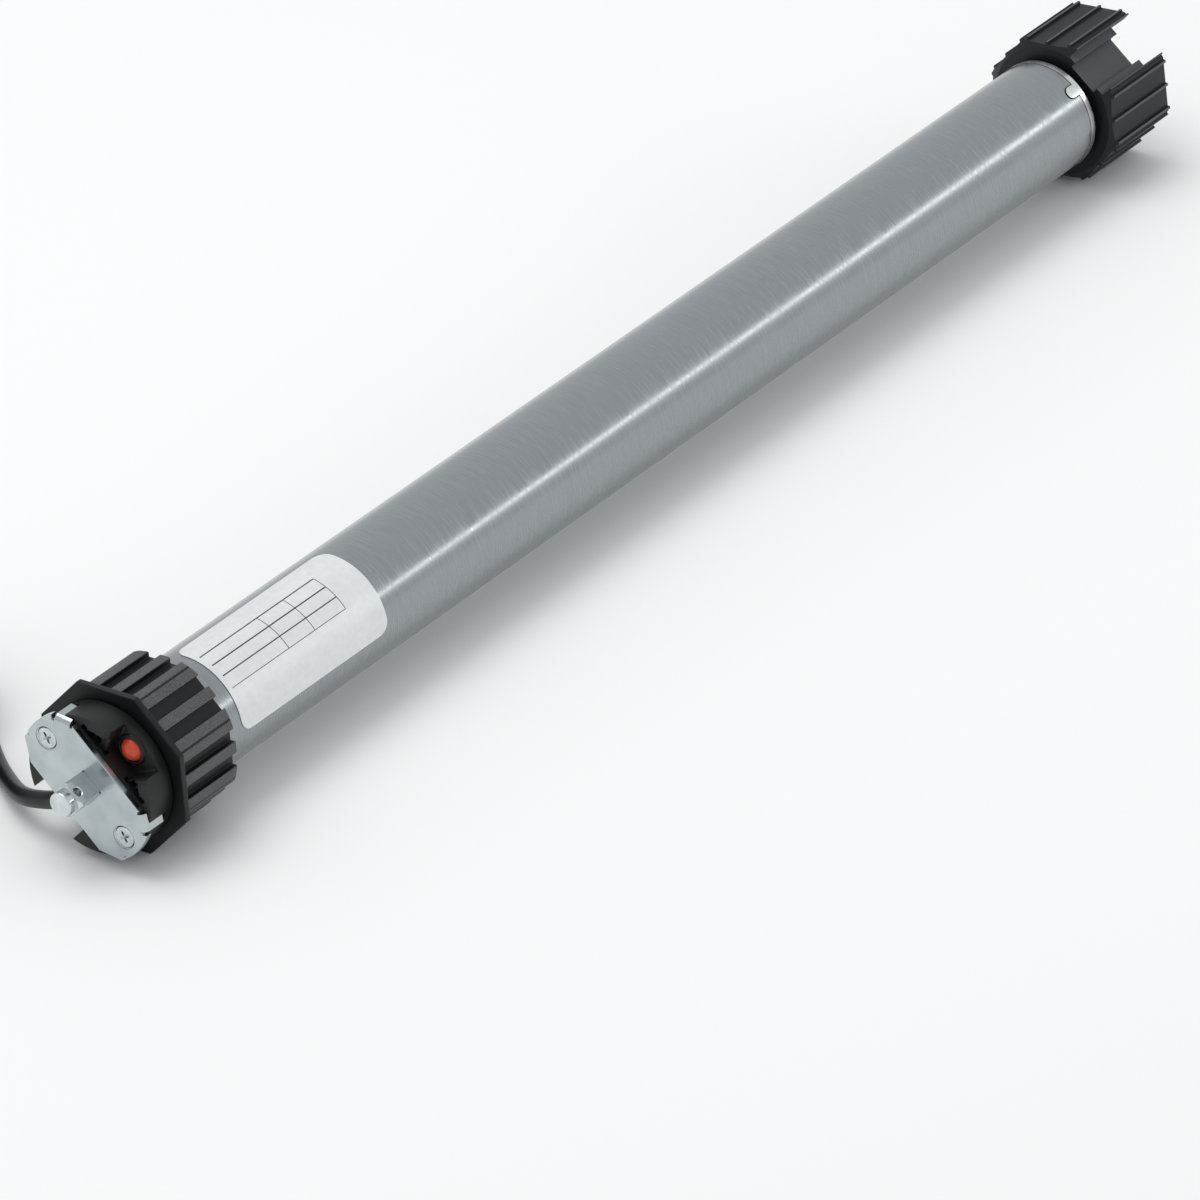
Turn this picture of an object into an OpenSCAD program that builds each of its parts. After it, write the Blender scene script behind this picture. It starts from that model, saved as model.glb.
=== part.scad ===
// Tubular roller blind motor: a round motor tube with a fixed head and a turning crown at one
// end and a driven octagonal wheel at the other, lying on a flat surface with its cable coiled.
// +X runs along the motor's axis from the head to the drive wheel, +Z is up.
// The origin is on the axis, in the outer face of the bracket plate. Millimetres.

/* [Motor tube] */
// Outer diameter of the motor tube
tube_d = 45; // [44:0.5:46]
// Wall thickness of the motor tube
tube_wall = 1.2; // [1:0.1:1.4]
// Length of the motor tube
tube_len = 555.5; // [540:0.5:700]
// Gap between the tube's head end and the limit ring
tube_gap = 0.5; // [0.4:0.1:0.8]

/* [Head] */
// Radius of the head's round body
head_r = 26.75; // [26.5:0.05:27.2]
// Thickness of the head's round body
head_t = 12; // [11.5:0.25:13]
// Turn of the head about the axis, from +Y towards +Z
head_turn = 45; // [40:1:50]
// Length of the shoulder that the crown's front turns over
shoulder_len = 7.5; // [7.5:0.25:9]
// Radius of the neck that carries the limit ring
neck_r = 17; // [16.8:0.05:17]
// Length of neck held in the tube plug
neck_hold = 14; // [12:0.5:16]
// Radius of the wire channel through the neck
wire_r = 8; // [7:0.25:8.5]
// Start and end angle of the button recess, in the head's own turn
recess_from = 72; // [68:1:76]
recess_to = 116; // [112:1:120]
// Depth of the button recess from the head's front face
recess_depth = 7.5; // [7:0.25:7.5]
// Width of the cable gap on the head's lower side
cable_gap_w = 22.5; // [21:0.5:24]
// Distance from the axis to the cable gap's floor
cable_gap_at = 16.5; // [16:0.25:17]
// Depth of the cable gap from the head's front face
cable_gap_depth = 10; // [9.5:0.25:10.5]
// Width and depth of the ribbed pockets along the plate's edge
edge_pocket_w = 2.3; // [1.8:0.1:2.6]
edge_pocket_depth = 6; // [4:0.5:7]
// Radius and depth of the lowered face inside the head's rim
step_r = 22.3; // [21.5:0.1:23]
step_depth = 2; // [1:0.25:3]
// Number of ribbed pockets to each side of the button
edge_pockets = 3; // [2:1:4]

/* [Bracket plate] */
// Thickness of the bracket plate
plate_t = 2.5; // [2:0.1:3]
// Radius of the bracket plate's round ends
plate_r = 28.5; // [28:0.1:29]
// Width of the bracket plate
plate_w = 29; // [28:0.5:30]
// Distance from the axis to each plate screw
screw_at = 21.7; // [21:0.1:22]
// Diameter of a plate screw's countersunk head
screw_head_d = 8; // [7.5:0.1:8.5]
// Diameter of a plate screw's shank
screw_d = 4; // [3.5:0.1:4.5]
// Length of a plate screw under the plate
screw_len = 9.5; // [8:0.5:10]
// Thickness and width of a bent tab
tab_t = 1.6; // [1.4:0.1:1.8]
tab_w = 7; // [6.5:0.25:7.5]
// Length of a bent tab behind the plate
tab_len = 8.5; // [7:0.25:9]

/* [Square stub] */
// Width of the square stub across its flats
stub_w = 10; // [9.5:0.25:10.5]
// Length of the stub's square part in front of the plate
stub_square = 10.5; // [10:0.25:12]
// Length of the stub's round tip
stub_tip = 3.3; // [2.5:0.1:4]
// Radius and thickness of the stub's flange behind the plate
stub_flange_r = 7.5; // [7.2:0.1:8]
stub_flange_t = 0.7; // [0.5:0.1:0.8]
// Diameter of the split pin hole across the stub
pin_hole_d = 3.2; // [3:0.1:3.5]
// Distance from the plate to the split pin hole
pin_hole_at = 7.7; // [7:0.1:8.2]

/* [Setting button] */
// Diameter of the button's dome
button_d = 9; // [8.5:0.1:9.4]
// Height of the button's dome
dome_h = 3.1; // [2.5:0.1:4]
// Distance from the axis to the button
button_at = 20.5; // [20.3:0.1:20.8]
// Travel of the button
button_travel = 1; // [0.6:0.1:1.1]
// Length of the button's stem behind its skirt
stem_len = 6.3; // [6:0.1:6.5]

/* [Crown] */
// Crown flange across its flats
flange_af = 61.6; // [61:0.1:63]
// Thickness of the crown's flange
flange_t = 2.5; // [2.2:0.1:3]
// Crown sleeve across its flats
sleeve_af = 56.6; // [56:0.1:57.5]
// Radius to the crown sleeve's corners
sleeve_corner_r = 30.1; // [29.6:0.1:30.4]
// Depth of the recesses between the crown's ribs
recess_drop = 2.3; // [1.8:0.1:2.5]
// Width of a rib in the middle of a flat
mid_rib_w = 4.4; // [4:0.1:5]
// Distance from a flat's middle to its corner rib
corner_rib_at = 7.3; // [7:0.1:7.8]
// Length of the crown
crown_len = 33; // [32:0.5:40]
// Gap between the head and the crown
crown_gap = 1; // [0.6:0.1:1.2]
// Length of the limit ring that the crown turns
ring_len = 8.5; // [8:0.25:9.5]

/* [Drive wheel] */
// Drive wheel across its flats, without ribs
wheel_af = 55.3; // [54.5:0.1:56]
// Length of the drive wheel
wheel_len = 38; // [37:0.5:44]
// Turn of the drive wheel about the axis
wheel_turn = -3; // [-10:1:10]
// Gap between the gearbox collar and the drive wheel
wheel_gap = 3.1; // [2.8:0.1:3.4]
// Width and height of a rib along the drive wheel
wheel_rib_w = 1.2; // [1:0.1:1.5]
wheel_rib_h = 1; // [0.8:0.1:1.2]
// Spacing of the ribs on a flat
wheel_rib_step = 9.8; // [9.6:0.1:10]
// Width of the seam slot in one flat
slot_w = 19.4; // [19:0.1:19.6]
// Width of the seam slot's deep floor
slot_floor_w = 13; // [12:0.5:14]
// Distance from the axis to the slot's ledges and to its floor
slot_ledge_at = 25.3; // [25:0.1:25.6]
slot_floor_at = 22.8; // [22.5:0.1:23.2]
// Wall thickness of the drive wheel
wheel_wall = 3; // [2.6:0.1:3.2]
// Length of the drive wheel's open end
wheel_open = 11; // [10:0.5:12]

/* [Gearbox] */
// Gear module
gear_module = 0.8; // [0.8:0.01:0.82]
// Teeth of a sun gear
sun_teeth = 9; // [9:9:9]
// Teeth of a planet gear
planet_teeth = 18; // [18:18:18]
// Play taken off each tooth's thickness
backlash = 0.12; // [0.1:0.01:0.16]
// Length of the gearbox with its collar's spigot
gearbox_len = 110; // [106:1:125]
// Width of the first, second and third stage's planets
stage_1_w = 9; // [8:0.5:10]
stage_2_w = 10; // [9:0.5:11]
stage_3_w = 12; // [11:0.5:13]
// Thickness of a planet carrier's disc
carrier_t = 4; // [3.5:0.25:5]
// Diameter of a planet's pin
planet_pin_d = 4; // [3.5:0.1:4.5]
// Diameter of the output shaft in its bush
output_d = 20; // [18:0.5:21]
// Width of the square that drives the wheel
drive_square = 12; // [11:0.5:13]
// Length of the collar's spigot in the tube
collar_spigot = 20; // [18:0.5:22]
// Thickness of the visible collar ring
collar_t = 2.9; // [2.5:0.1:3.5]
// Length and width of the tube's end notch
notch_len = 6; // [5.5:0.1:6.5]
notch_w = 4.9; // [4.5:0.1:5.5]
// Angle of the tube's end notch, from +Y towards +Z
notch_at = 136; // [130:1:140]

/* [Motor and brake] */
// Length of the motor between its end bells' outer faces
motor_len = 120; // [118:1:130]
// Length of the stator's lamination stack
stack_len = 70; // [60:1:70]
// Radius of the stator's bore
stator_bore_r = 12.2; // [12:0.05:12.4]
// Air gap between rotor and stator
air_gap = 0.4; // [0.3:0.05:0.5]
// Number of stator slots
stator_slots = 12; // [8:1:12]
// Length of an end bell
bell_len = 12; // [10:0.5:13]
// Diameter of the rotor's shaft
shaft_d = 8; // [7.5:0.1:8]
// Outer diameter and width of a rotor bearing
bearing_d = 16; // [15:0.5:18]
bearing_w = 5; // [4:0.25:6]
// Length of the brake
brake_len = 36; // [34:0.5:40]
// Travel of the brake's armature
brake_travel = 0.6; // [0.4:0.05:0.7]

/* [Electrics] */
// Length of the limit unit's case
limit_len = 64; // [58:1:70]
// Length of the circuit board
board_len = 62; // [56:1:66]
// Thickness of the circuit board
board_t = 1.6; // [1.2:0.1:2]
// Diameter of the motor capacitor
capacitor_d = 30; // [28:0.5:31]
// Length of the motor capacitor
capacitor_len = 62; // [56:1:68]

/* [Label] */
// Distance from the crown's end to the rating label
label_gap = 10.5; // [8:0.5:20]
// Length of the rating label along the tube
label_len = 83; // [70:0.5:90]
// Angle of the label's middle and half the angle that it wraps
label_at = 130; // [125:1:137]
label_half = 54; // [50:1:60]
// Thickness of the label's film
label_t = 0.12; // [0.1:0.01:0.15]

/* [Cable] */
// Diameter of the cable
cable_d = 6.6; // [6.4:0.1:6.8]
// Loops in the put-away coil
coil_loops = 8; // [8:8:8]
// Gap between neighbouring loops
coil_gap = 0.7; // [0.6:0.05:0.9]
// Diameter of one insulated core
core_d = 1.5; // [1.4:0.1:1.6]

/* [Hidden] */

$fn = 96;
slip = 0.05;          // radial clearance of fixed and running fits
face_gap = 0.05;      // gap between faces that touch in use
loose = 0.3;          // clearance of free pieces
label_seat = 0.15;    // height of the label's film above the tube

// Places along the axis, from the head to the tube's end
head_back = plate_t + head_t;
crown_x = head_back + crown_gap;
crown_end = crown_x + crown_len;
shoulder_end = head_back + shoulder_len;
ring_x = shoulder_end + tube_gap;
ring_end = ring_x + ring_len;
tube_x = ring_end + tube_gap;
tube_end = tube_x + tube_len;
neck_end = tube_x + neck_hold;
tube_r = tube_d / 2;
bore_r = tube_r - tube_wall;
fit_r = bore_r - slip;
collar_end = tube_end + collar_t;
wheel_x = collar_end + wheel_gap;
wheel_end = wheel_x + wheel_len;
floor_z = -flange_af / 2;

// Head details
head_gap_shift = 1.25;
pocket_v = plate_w / 2 + 0.6;
pocket_u = 8.6;
pocket_rib = 0.9;
pocket_step = (18 - pocket_u) / edge_pockets;
button_v = button_at;
dome_r = button_d / 2;
dome_base_r = dome_r - slip;
dome_ball_r = (dome_base_r * dome_base_r + dome_h * dome_h) / (2 * dome_h);
recess_floor = plate_t + recess_depth;
skirt_t = 1.2;
skirt_end = recess_floor + skirt_t;
stem_r = 1.5;
stem_v = button_v - 2.3;
stem_end = skirt_end + stem_len;
spring_wall = 0.7;
spring_r = stem_r + 0.2 + spring_wall;
dome_bore_end = skirt_end + button_travel + 0.8;
spring_end = dome_bore_end + 2;
switch_x = stem_end + button_travel + slip;
switch_w = 6;
tab_x = 0.9088 * plate_r;  // far end of a tab's outer edge, along and across the plate
tab_y = 0.3684 * plate_r;
tab_lean = 51.3;      // direction that a tab's outer face looks in, from the plate's long axis

// Limit drive
ring_teeth = sun_teeth + 2 * planet_teeth;
ring_pitch_r = ring_teeth * gear_module / 2;
pinion_teeth = 12;
pinion_at = ring_pitch_r - pinion_teeth * gear_module / 2;
pinion_turn = head_turn + 180;
pinion_shaft_r = 1.5;
ring_bearing = 2;
lug_w = 4;
lug_h = 1.9;
crown_bore_r = tube_r + 0.08;
encoder_r = 5.4;
limit_step = 6.5;
limit_x = neck_end + face_gap;
limit_main = limit_x + limit_step;
limit_end = limit_x + limit_len;
limit_r = fit_r - 0.4;
limit_boss_r = neck_r - 0.5;
case_wall = 1.5;
plug_len = neck_hold + 6;

// Motor, brake and gearbox places, from the tube's end backwards
gear_x = tube_end - gearbox_len;
brake_x = gear_x - brake_len;
motor_x = brake_x - motor_len;
stack_x = motor_x + (motor_len - stack_len) / 2;
stack_end = stack_x + stack_len;
rear_bell_x = brake_x - bell_len;
shaft_r = shaft_d / 2;
bearing_r = bearing_d / 2;
rotor_r = stator_bore_r - air_gap;
slot_r = 2;
slot_at = 16;
turns_len = 9;        // length of the winding's end turns
turns_in = stator_bore_r + 1.6;
turns_out = slot_at + slot_r + 1;
magnet_x = brake_x + face_gap;
magnet_len = 15.5;
magnet_end = magnet_x + magnet_len;
armature_x = magnet_end + brake_travel + face_gap;
armature_t = 3.4;
armature_r = 19.8;
disc_x = armature_x + armature_t + face_gap;
disc_t = 4;
disc_r = 15.5;
brake_plate_x = disc_x + disc_t + face_gap;
guide_at = 17.8;
guide_r = 1.2;
brake_spring_r = 9.5;
brake_spring_len = 7;

// Gear train
pitch_angle = 25;
addendum = 0.8 * gear_module;
dedendum = 1.05 * gear_module;
sun_r = sun_teeth * gear_module / 2;
planet_r = planet_teeth * gear_module / 2;
orbit_r = sun_r + planet_r;
pin_r = planet_pin_d / 2;
planet_angles = [0, 120, 240];
side_gap = 0.5;
sun_1_x = gear_x + 2;
sun_1_end = sun_1_x + stage_1_w + side_gap;
carrier_1_x = sun_1_end + face_gap * 2;
sun_2_x = carrier_1_x + carrier_t;
sun_2_end = sun_2_x + stage_2_w + 2 * side_gap;
carrier_2_x = sun_2_end + face_gap * 2;
sun_3_x = carrier_2_x + carrier_t + 1;
sun_3_end = sun_3_x + stage_3_w + 2 * side_gap;
carrier_3_x = sun_3_end + face_gap * 2;
carrier_3_t = carrier_t + 4;
carrier_r = orbit_r + pin_r + 1.8;
teeth_end = carrier_3_x + carrier_3_t + 4;
housing_end = tube_end - collar_spigot;
output_r = output_d / 2;
bush_r = output_r + 3;
bush_x = housing_end + 2;
bush_end = tube_end - 1;
shaft_end = wheel_end - wheel_open + 6.5;
hub_end = wheel_end - wheel_open;
square_x = wheel_x - wheel_gap + 0.6;
hub_r = 11.6;
circlip_x = hub_end + 0.15;
circlip_t = 1.2;
tip_r = 5.8;
groove_r = 4.9;

// Electrics
tray_x = limit_end + face_gap;
tray_end = motor_x - face_gap;
tray_r = fit_r - 0.1;
tray_in = tray_r - 1.8;
board_x = tray_x + 6;
board_w = 2 * (tray_in + 0.9);
capacitor_r = capacitor_d / 2;
capacitor_x = tray_end - capacitor_len - 12;

// Cable: the gland's place and direction, the free stretch's chosen points, and the coil
gland_turn = -26;
gland_half = 4.2;        // half the connector's thickness along the axis
gland_x = plate_t + stub_flange_t + 2 * face_gap + gland_half;
gland_side = -4;
gland_out = 16;
cable_r = cable_d / 2;
floor_cable_z = floor_z + cable_r;
route = [
    [7.5, 12.63, -10.61], [7.5, 15.33, -11.93], [7.7, 19, -13.8], [8.5, 23.6, -15.9],
    [9.6, 30, -18.1], [11.4, 37, -20.3], [14.4, 43.5, -22.2], [18.2, 49.5, -23.8],
    [22.4, 55.3, -25.2], [26.8, 61.3, -26.3], [31.6, 67.7, -27.1], [37, 74.5, -27.5],
    [43, 81.5, -27.5], [50, 89.5, -27.5], [57, 97.5, -27.5], [64, 106.5, -27.5],
    [69.5, 114, -27.2], [73.2, 121, -26.4], [74.6, 124.6, -26.2], [74.6, 127.9, -26.2],
];
coil_layers = 4;
coil_mid_r = 5.5 * cable_d;
coil_step = cable_d + coil_gap;
loops_per_layer = coil_loops / coil_layers;
coil_out_r = coil_mid_r + loops_per_layer * coil_step / 2;
coil_centre = [31, 134.5];
tie_t = 1;
tie_w = 3.2;
tie_gap = 0.3;
coil_z = floor_z + tie_t + tie_gap + cable_r;
rings_per_loop = 24;
core_arc_r = 30;
core_arc = 60;

black = "#232426";
soft_black = "#2e2f31";
zinc = "#b4babd";
steel = "#8f9395";
satin = "#a4a8aa";

// Turns a shape that is built along +Z so that it runs along +X from x, keeping +Y
module along(x) { translate([x, 0, 0]) rotate([90, 0, 90]) children(); }
// Extrudes a flat shape, drawn in Y and Z, along +X
module bar(x, length) { along(x) linear_extrude(length) children(); }
// A round disc or ring on the axis
module disc(x, length, r, hole = 0) {
    bar(x, length) difference() {
        circle(r);
        if (hole > 0) circle(hole);
    }
}
// A turned piece on the axis: points are [x, radius]
module turned(points) {
    rotate([90, 0, 90]) rotate_extrude() polygon([for (p = points) [p[1], p[0]]]);
}
// Turns a child about the axis, from +Y towards +Z
module turn(angle) { rotate([angle, 0, 0]) children(); }
// A regular octagon with two level flats, across its flats
module octagon(af) { rotate(22.5) circle(af / 2 / cos(22.5), $fn = 8); }
// A rectangle between two corners
module rect(low, high) { translate(low) square(high - low); }
// A box between two corners
module block(low, high) { translate(low) cube(high - low); }

// Gear teeth: half the angle of a tooth at radius r, and the outline of a whole gear
function unroll(a) = tan(a) * 180 / PI - a;
function half_tooth(r, pitch, base, teeth, play) =
    90 / teeth - play / 2 / pitch * 180 / PI + unroll(pitch_angle)
    - (r > base ? unroll(acos(base / r)) : 0);
function flank(root, base, tip) =
    let (low = max(root, base))
    concat(root < base ? [root] : [], [for (i = [0:3]) low + (tip - low) * i / 3]);
function gear_points(teeth, tip, root, play) =
    let (pitch = teeth * gear_module / 2, base = pitch * cos(pitch_angle),
         radii = flank(root, base, tip), last = len(radii) - 1)
    [for (n = [0:teeth - 1]) for (side = [-1, 1]) for (k = [0:last])
        let (r = radii[side < 0 ? k : last - k],
             a = n * 360 / teeth + side * half_tooth(r, pitch, base, teeth, play))
        r * [cos(a), sin(a)]];
module gear(teeth) {
    pitch = teeth * gear_module / 2;
    polygon(gear_points(teeth, pitch + addendum, pitch - dedendum, backlash));
}
// The hollow of an internal gear, to be cut from a disc
module ring_hollow() {
    polygon(gear_points(ring_teeth, ring_pitch_r + dedendum, ring_pitch_r - addendum,
        -backlash / 2));
}

// Tube with a round-ended notch at its drive end and three pin holes under the crown
module end_notch(r_in, r_out, width, length, x_end) {
    turn(notch_at) {
        block([x_end - length + width / 2, r_in, -width / 2], [x_end + 1, r_out, width / 2]);
        translate([x_end - length + width / 2, r_in, 0]) rotate([-90, 0, 0])
            cylinder(h = r_out - r_in, r = width / 2);
    }
}
pin_x = tube_x + 7;
pin_angles = [30, 150, 270];
module radial_pins(r_in, r_out, r) {
    for (a = pin_angles) turn(a) translate([pin_x, r_in, 0]) rotate([-90, 0, 0])
        cylinder(h = r_out - r_in, r = r);
}
module motor_tube() {
    color(satin) difference() {
        disc(tube_x, tube_len, tube_r, bore_r);
        end_notch(bore_r - 2, tube_r + 2, notch_w, notch_len, tube_end);
        radial_pins(bore_r - 1, tube_r + 1, 2 + slip);
    }
}
module rating_label() {
    half_w = tube_r * sin(label_half);
    corner = 5;
    color("#d9dcdd") difference() {
        intersection() {
            turn(label_at) translate([crown_end + label_gap, 0, 0]) rotate([-90, 0, 0])
                linear_extrude(tube_r + 1) {
                    rect([corner, -half_w], [label_len - corner, half_w]);
                    rect([0, corner - half_w], [label_len, half_w - corner]);
                    for (x = [corner, label_len - corner], y = [corner - half_w, half_w - corner])
                        translate([x, y]) circle(corner);
                }
            disc(crown_end, label_gap + label_len + 5, tube_r + label_seat + label_t);
        }
        disc(crown_end - 1, label_gap + label_len + 7, tube_r + label_seat);
    }
}

// The head's front: plate, stub, screws, and the moulded body behind them
module tab(play, length) {
    turn(head_turn) for (side = [0, 1]) mirror([0, side, 0])
        translate([plate_t / 2, tab_x, tab_y]) rotate([tab_lean - 90, 0, 0])
            translate([0, -tab_w - play, -tab_t - play])
                cube([length, tab_w + 2 * play, tab_t + 2 * play]);
}
module screw_shape(r, head_r, depth, x_end) {
    turn(head_turn) for (side = [-1, 1]) translate([0, side * screw_at, 0]) turned([
        [0, 0], [0, head_r], [depth, r], [x_end, r], [x_end, 0]]);
}
screw_sink = (screw_head_d - screw_d) / 2;
module bracket_plate() {
    u = plate_r / 28.5;
    corner_from = [27.2 * u, -8.5 * u];
    corner_to = [19.3 * u, -plate_w / 2];
    color(zinc) {
        turn(head_turn) difference() {
            bar(0, plate_t) difference() {
                intersection() {
                    circle(plate_r);
                    square([4 * plate_r, plate_w], center = true);
                }
                for (side = [-1, 1]) scale([side, 1]) {
                    polygon([corner_from, corner_from + [9, 0], [corner_from[0] + 9, -plate_w],
                        [corner_to[0], -plate_w], corner_to]);
                    translate([27.4, -6.2] * u) circle(0.8 * u);
                    translate([tab_x, tab_y]) rotate(tab_lean - 90)
                        rect([-tab_w, 0], [0.4, 6]);
                    translate([20.2 * u, plate_w / 2 + 0.5]) circle(u);
                    translate([27.3, 10.2] * u) circle(u);
                }
                square(stub_w + 2 * slip, center = true);
            }
        }
        tab(0, tab_len + plate_t / 2);
    }
}
module plate_cut() { screw_shape(screw_d / 2 + slip, screw_head_d / 2 + slip, screw_sink, 14); }
module drilled_plate() {
    difference() {
        bracket_plate();
        color(zinc) plate_cut();
    }
}
module square_stub() {
    tip_r = stub_w / 2 - 0.3;
    x_square = -stub_square;
    x_end = x_square - stub_tip;
    shank = stub_square + plate_t + face_gap + stub_flange_t / 2;
    color(zinc) turn(head_turn) difference() {
        union() {
            intersection() {
                bar(x_square, shank) square(stub_w, center = true);
                disc(x_square, shank, 6.6);
            }
            turned([[x_end, 0], [x_end, tip_r - 0.5], [x_end + 0.5, tip_r], [x_square, tip_r],
                [x_square, 0]]);
            disc(plate_t + face_gap, stub_flange_t, stub_flange_r);
        }
        translate([-pin_hole_at, 0, -stub_w]) cylinder(h = 2 * stub_w, r = pin_hole_d / 2);
    }
}
module plate_screws() {
    color("#c3c7c9") difference() {
        screw_shape(screw_d / 2, screw_head_d / 2, screw_sink, plate_t + screw_len);
        turn(head_turn) for (side = [-1, 1]) translate([0, side * screw_at, 0]) turn(20) {
            block([-1, -2.1, -0.45], [1.6, 2.1, 0.45]);
            block([-1, -0.45, -2.1], [1.6, 0.45, 2.1]);
        }
    }
}
// The sector of a circle between two angles, less than a half turn apart
module sector(r, from, to) {
    polygon([[0, 0], for (a = [from, (from + to) / 2, to]) 2 * r * [cos(a), sin(a)]]);
}
// The plug's room in the head: along the cable's way out
module gland_block(y_from, y_to, half_w, half_x) {
    turn(gland_turn) block([gland_x - half_x, y_from, gland_side - half_w],
        [gland_x + half_x, y_to, gland_side + half_w]);
}
module head_body() {
    gap_half = cable_gap_w / 2;
    color(black) difference() {
        union() {
            disc(plate_t + face_gap, head_t - face_gap, head_r);
            disc(head_back - 1, shoulder_len + 1, tube_r - 0.2);
            disc(shoulder_end - 1, neck_end - shoulder_end + 1, neck_r);
            turn(head_turn) translate([recess_floor - 0.8, 0, button_v]) rotate([0, 90, 0])
                cylinder(h = 2, r = dome_r + 1);
        }
        // button recess, open to the front and to the rim
        turn(head_turn) difference() {
            bar(plate_t, recess_depth) difference() {
                sector(head_r, recess_from, recess_to);
                rect([-30, -30], [30, pocket_v]);
            }
            translate([recess_floor - 0.8, 0, button_v]) rotate([0, 90, 0])
                cylinder(h = 2, r = dome_r + 1);
        }
        turn(head_turn) translate([0, 0, button_v]) rotate([0, 90, 0])
            cylinder(h = dome_bore_end, r = dome_r + slip);
        turn(head_turn) translate([0, 0, stem_v]) rotate([0, 90, 0]) {
            cylinder(h = spring_end, r = spring_r + 0.2);
            cylinder(h = shoulder_end, r = stem_r + slip);
        }
        // switch pocket and its way to the wire channel
        turn(head_turn) block([switch_x - slip, -switch_w / 2 - slip, stem_v - switch_w / 2 - slip],
            [shoulder_end + 1, switch_w / 2 + slip, stem_v + switch_w / 2 + slip]);
        turn(head_turn) block([switch_x + 1, -2, 0], [shoulder_end + 1, 2, stem_v - 2]);
        // lowered face and its ribbed pockets along the plate's edge
        turn(head_turn) bar(plate_t - 1, step_depth + 1) intersection() {
            circle(step_r);
            rect([-30, pocket_v], [30, 30]);
        }
        turn(head_turn) for (side = [-1, 1], i = [0:edge_pockets - 1])
            scale([1, side, 1]) block([plate_t - 1, pocket_u + i * pocket_step, pocket_v],
                [plate_t + edge_pocket_depth, pocket_u + (i + 1) * pocket_step - pocket_rib,
                    pocket_v + edge_pocket_w]);
        // room of the stub's flange, and the wire channel from the gland to the tube
        disc(plate_t, stub_flange_t + 2 * face_gap, stub_flange_r + slip);
        disc(head_back - 6, neck_end, wire_r);
        // cable gap and the gland's room
        turn(head_turn) block([plate_t - 1, head_gap_shift - gap_half, -head_r - 5],
            [plate_t + cable_gap_depth, head_gap_shift + gap_half, -cable_gap_at]);
        gland_block(3, gland_out + 6, 5.5 + slip, gland_half + slip);
        // pinion pocket and shaft holes
        turn(pinion_turn) translate([0, pinion_at, 0]) {
            disc(ring_x + ring_bearing - 0.5, ring_end - ring_x - ring_bearing + 0.8, 5.9);
            disc(ring_x - 3, neck_end, pinion_shaft_r + slip);
        }
        // seats of the plate's screws and tabs
        screw_shape(screw_d / 2 + slip, screw_d / 2 + slip, 1, plate_t + screw_len + 0.3);
        tab(0.15, tab_len + plate_t / 2 + 0.3);
    }
}
module tube_plug() {
    color(soft_black) difference() {
        disc(tube_x, plug_len, fit_r, neck_r + slip);
        radial_pins(neck_r - 2, tube_r, 2 + slip);
    }
}
module plug_pins() { color(steel) intersection() {
    radial_pins(neck_r + 0.4, tube_r + 1, 2);
    disc(pin_x - 5, 10, tube_r - 0.1);
} }
module cable_connector() {
    color("#e6e4dc") difference() {
        gland_block(4, gland_out - 5 - face_gap, 5.5, gland_half);
        for (dx = [-2, 2], dz = [-2.5, 2.5]) turn(gland_turn)
            translate([gland_x + dx, 3, gland_side + dz]) rotate([-90, 0, 0])
                cylinder(h = 4, r = 1.1);
    }
}
module cable_grommet() { color(black) gland_block(gland_out - 5, gland_out, 5.5, gland_half); }
module setting_switch() {
    color(soft_black) turn(head_turn)
        block([switch_x, -switch_w / 2, stem_v - switch_w / 2],
            [shoulder_end, switch_w / 2, stem_v + switch_w / 2]);
}
module setting_button() {
    color("#c8391f") turn(head_turn) {
        translate([recess_floor, 0, button_v]) intersection() {
            translate([dome_ball_r - dome_h, 0, 0]) sphere(dome_ball_r);
            translate([-4 * dome_r, -2 * dome_r, -2 * dome_r]) cube(4 * dome_r);
        }
        translate([recess_floor, 0, button_v]) rotate([0, 90, 0]) cylinder(h = skirt_t, r = dome_r);
        translate([skirt_end, 0, stem_v]) rotate([0, 90, 0]) cylinder(h = stem_len, r = stem_r);
    }
}
module button_spring() {
    color(steel) turn(head_turn) translate([skirt_end + face_gap, 0, stem_v]) rotate([0, 90, 0])
        difference() {
            cylinder(h = spring_end - skirt_end - 2 * face_gap, r = spring_r);
            translate([0, 0, -1]) cylinder(h = 20, r = spring_r - spring_wall);
        }
}

// The crown turns on the tube and carries the limit ring with it
module crown_section() {
    flat = sleeve_af / 2;
    difference() {
        intersection() {
            octagon(sleeve_af);
            circle(sleeve_corner_r);
        }
        for (i = [0:7], side = [-1, 1]) rotate(i * 45) scale([1, side])
            rect([flat - recess_drop, mid_rib_w / 2], [flat + 2, corner_rib_at]);
    }
}
module crown_adapter() {
    rib_end = 1.5;
    color(soft_black) difference() {
        union() {
            bar(crown_x, flange_t) octagon(flange_af);
            intersection() {
                bar(crown_x + flange_t, crown_len - flange_t) crown_section();
                turned([[crown_x, 0], [crown_x, flange_af], [crown_end - rib_end - 10, flange_af],
                    [crown_end - rib_end, sleeve_corner_r], [crown_end, sleeve_corner_r - rib_end],
                    [crown_end, 0]]);
            }
        }
        disc(crown_x - 1, crown_len + 2, crown_bore_r);
        for (a = [0, 180]) turn(a) block([crown_x - 1, 0, -lug_w / 2 - slip],
            [ring_x + 4 + loose, tube_r + lug_h + slip, lug_w / 2 + slip]);
    }
}
module limit_ring() {
    color("#c9c3b2") {
        difference() {
            union() {
                disc(ring_x, ring_len, tube_r);
                for (a = [0, 180]) turn(a) block([ring_x, tube_r - 2, -lug_w / 2],
                    [ring_x + 4, tube_r + lug_h, lug_w / 2]);
            }
            disc(ring_x - 1, ring_bearing + 2, neck_r + slip);
            turn(head_turn) bar(ring_x + ring_bearing, ring_len) ring_hollow();
        }
    }
}
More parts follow.
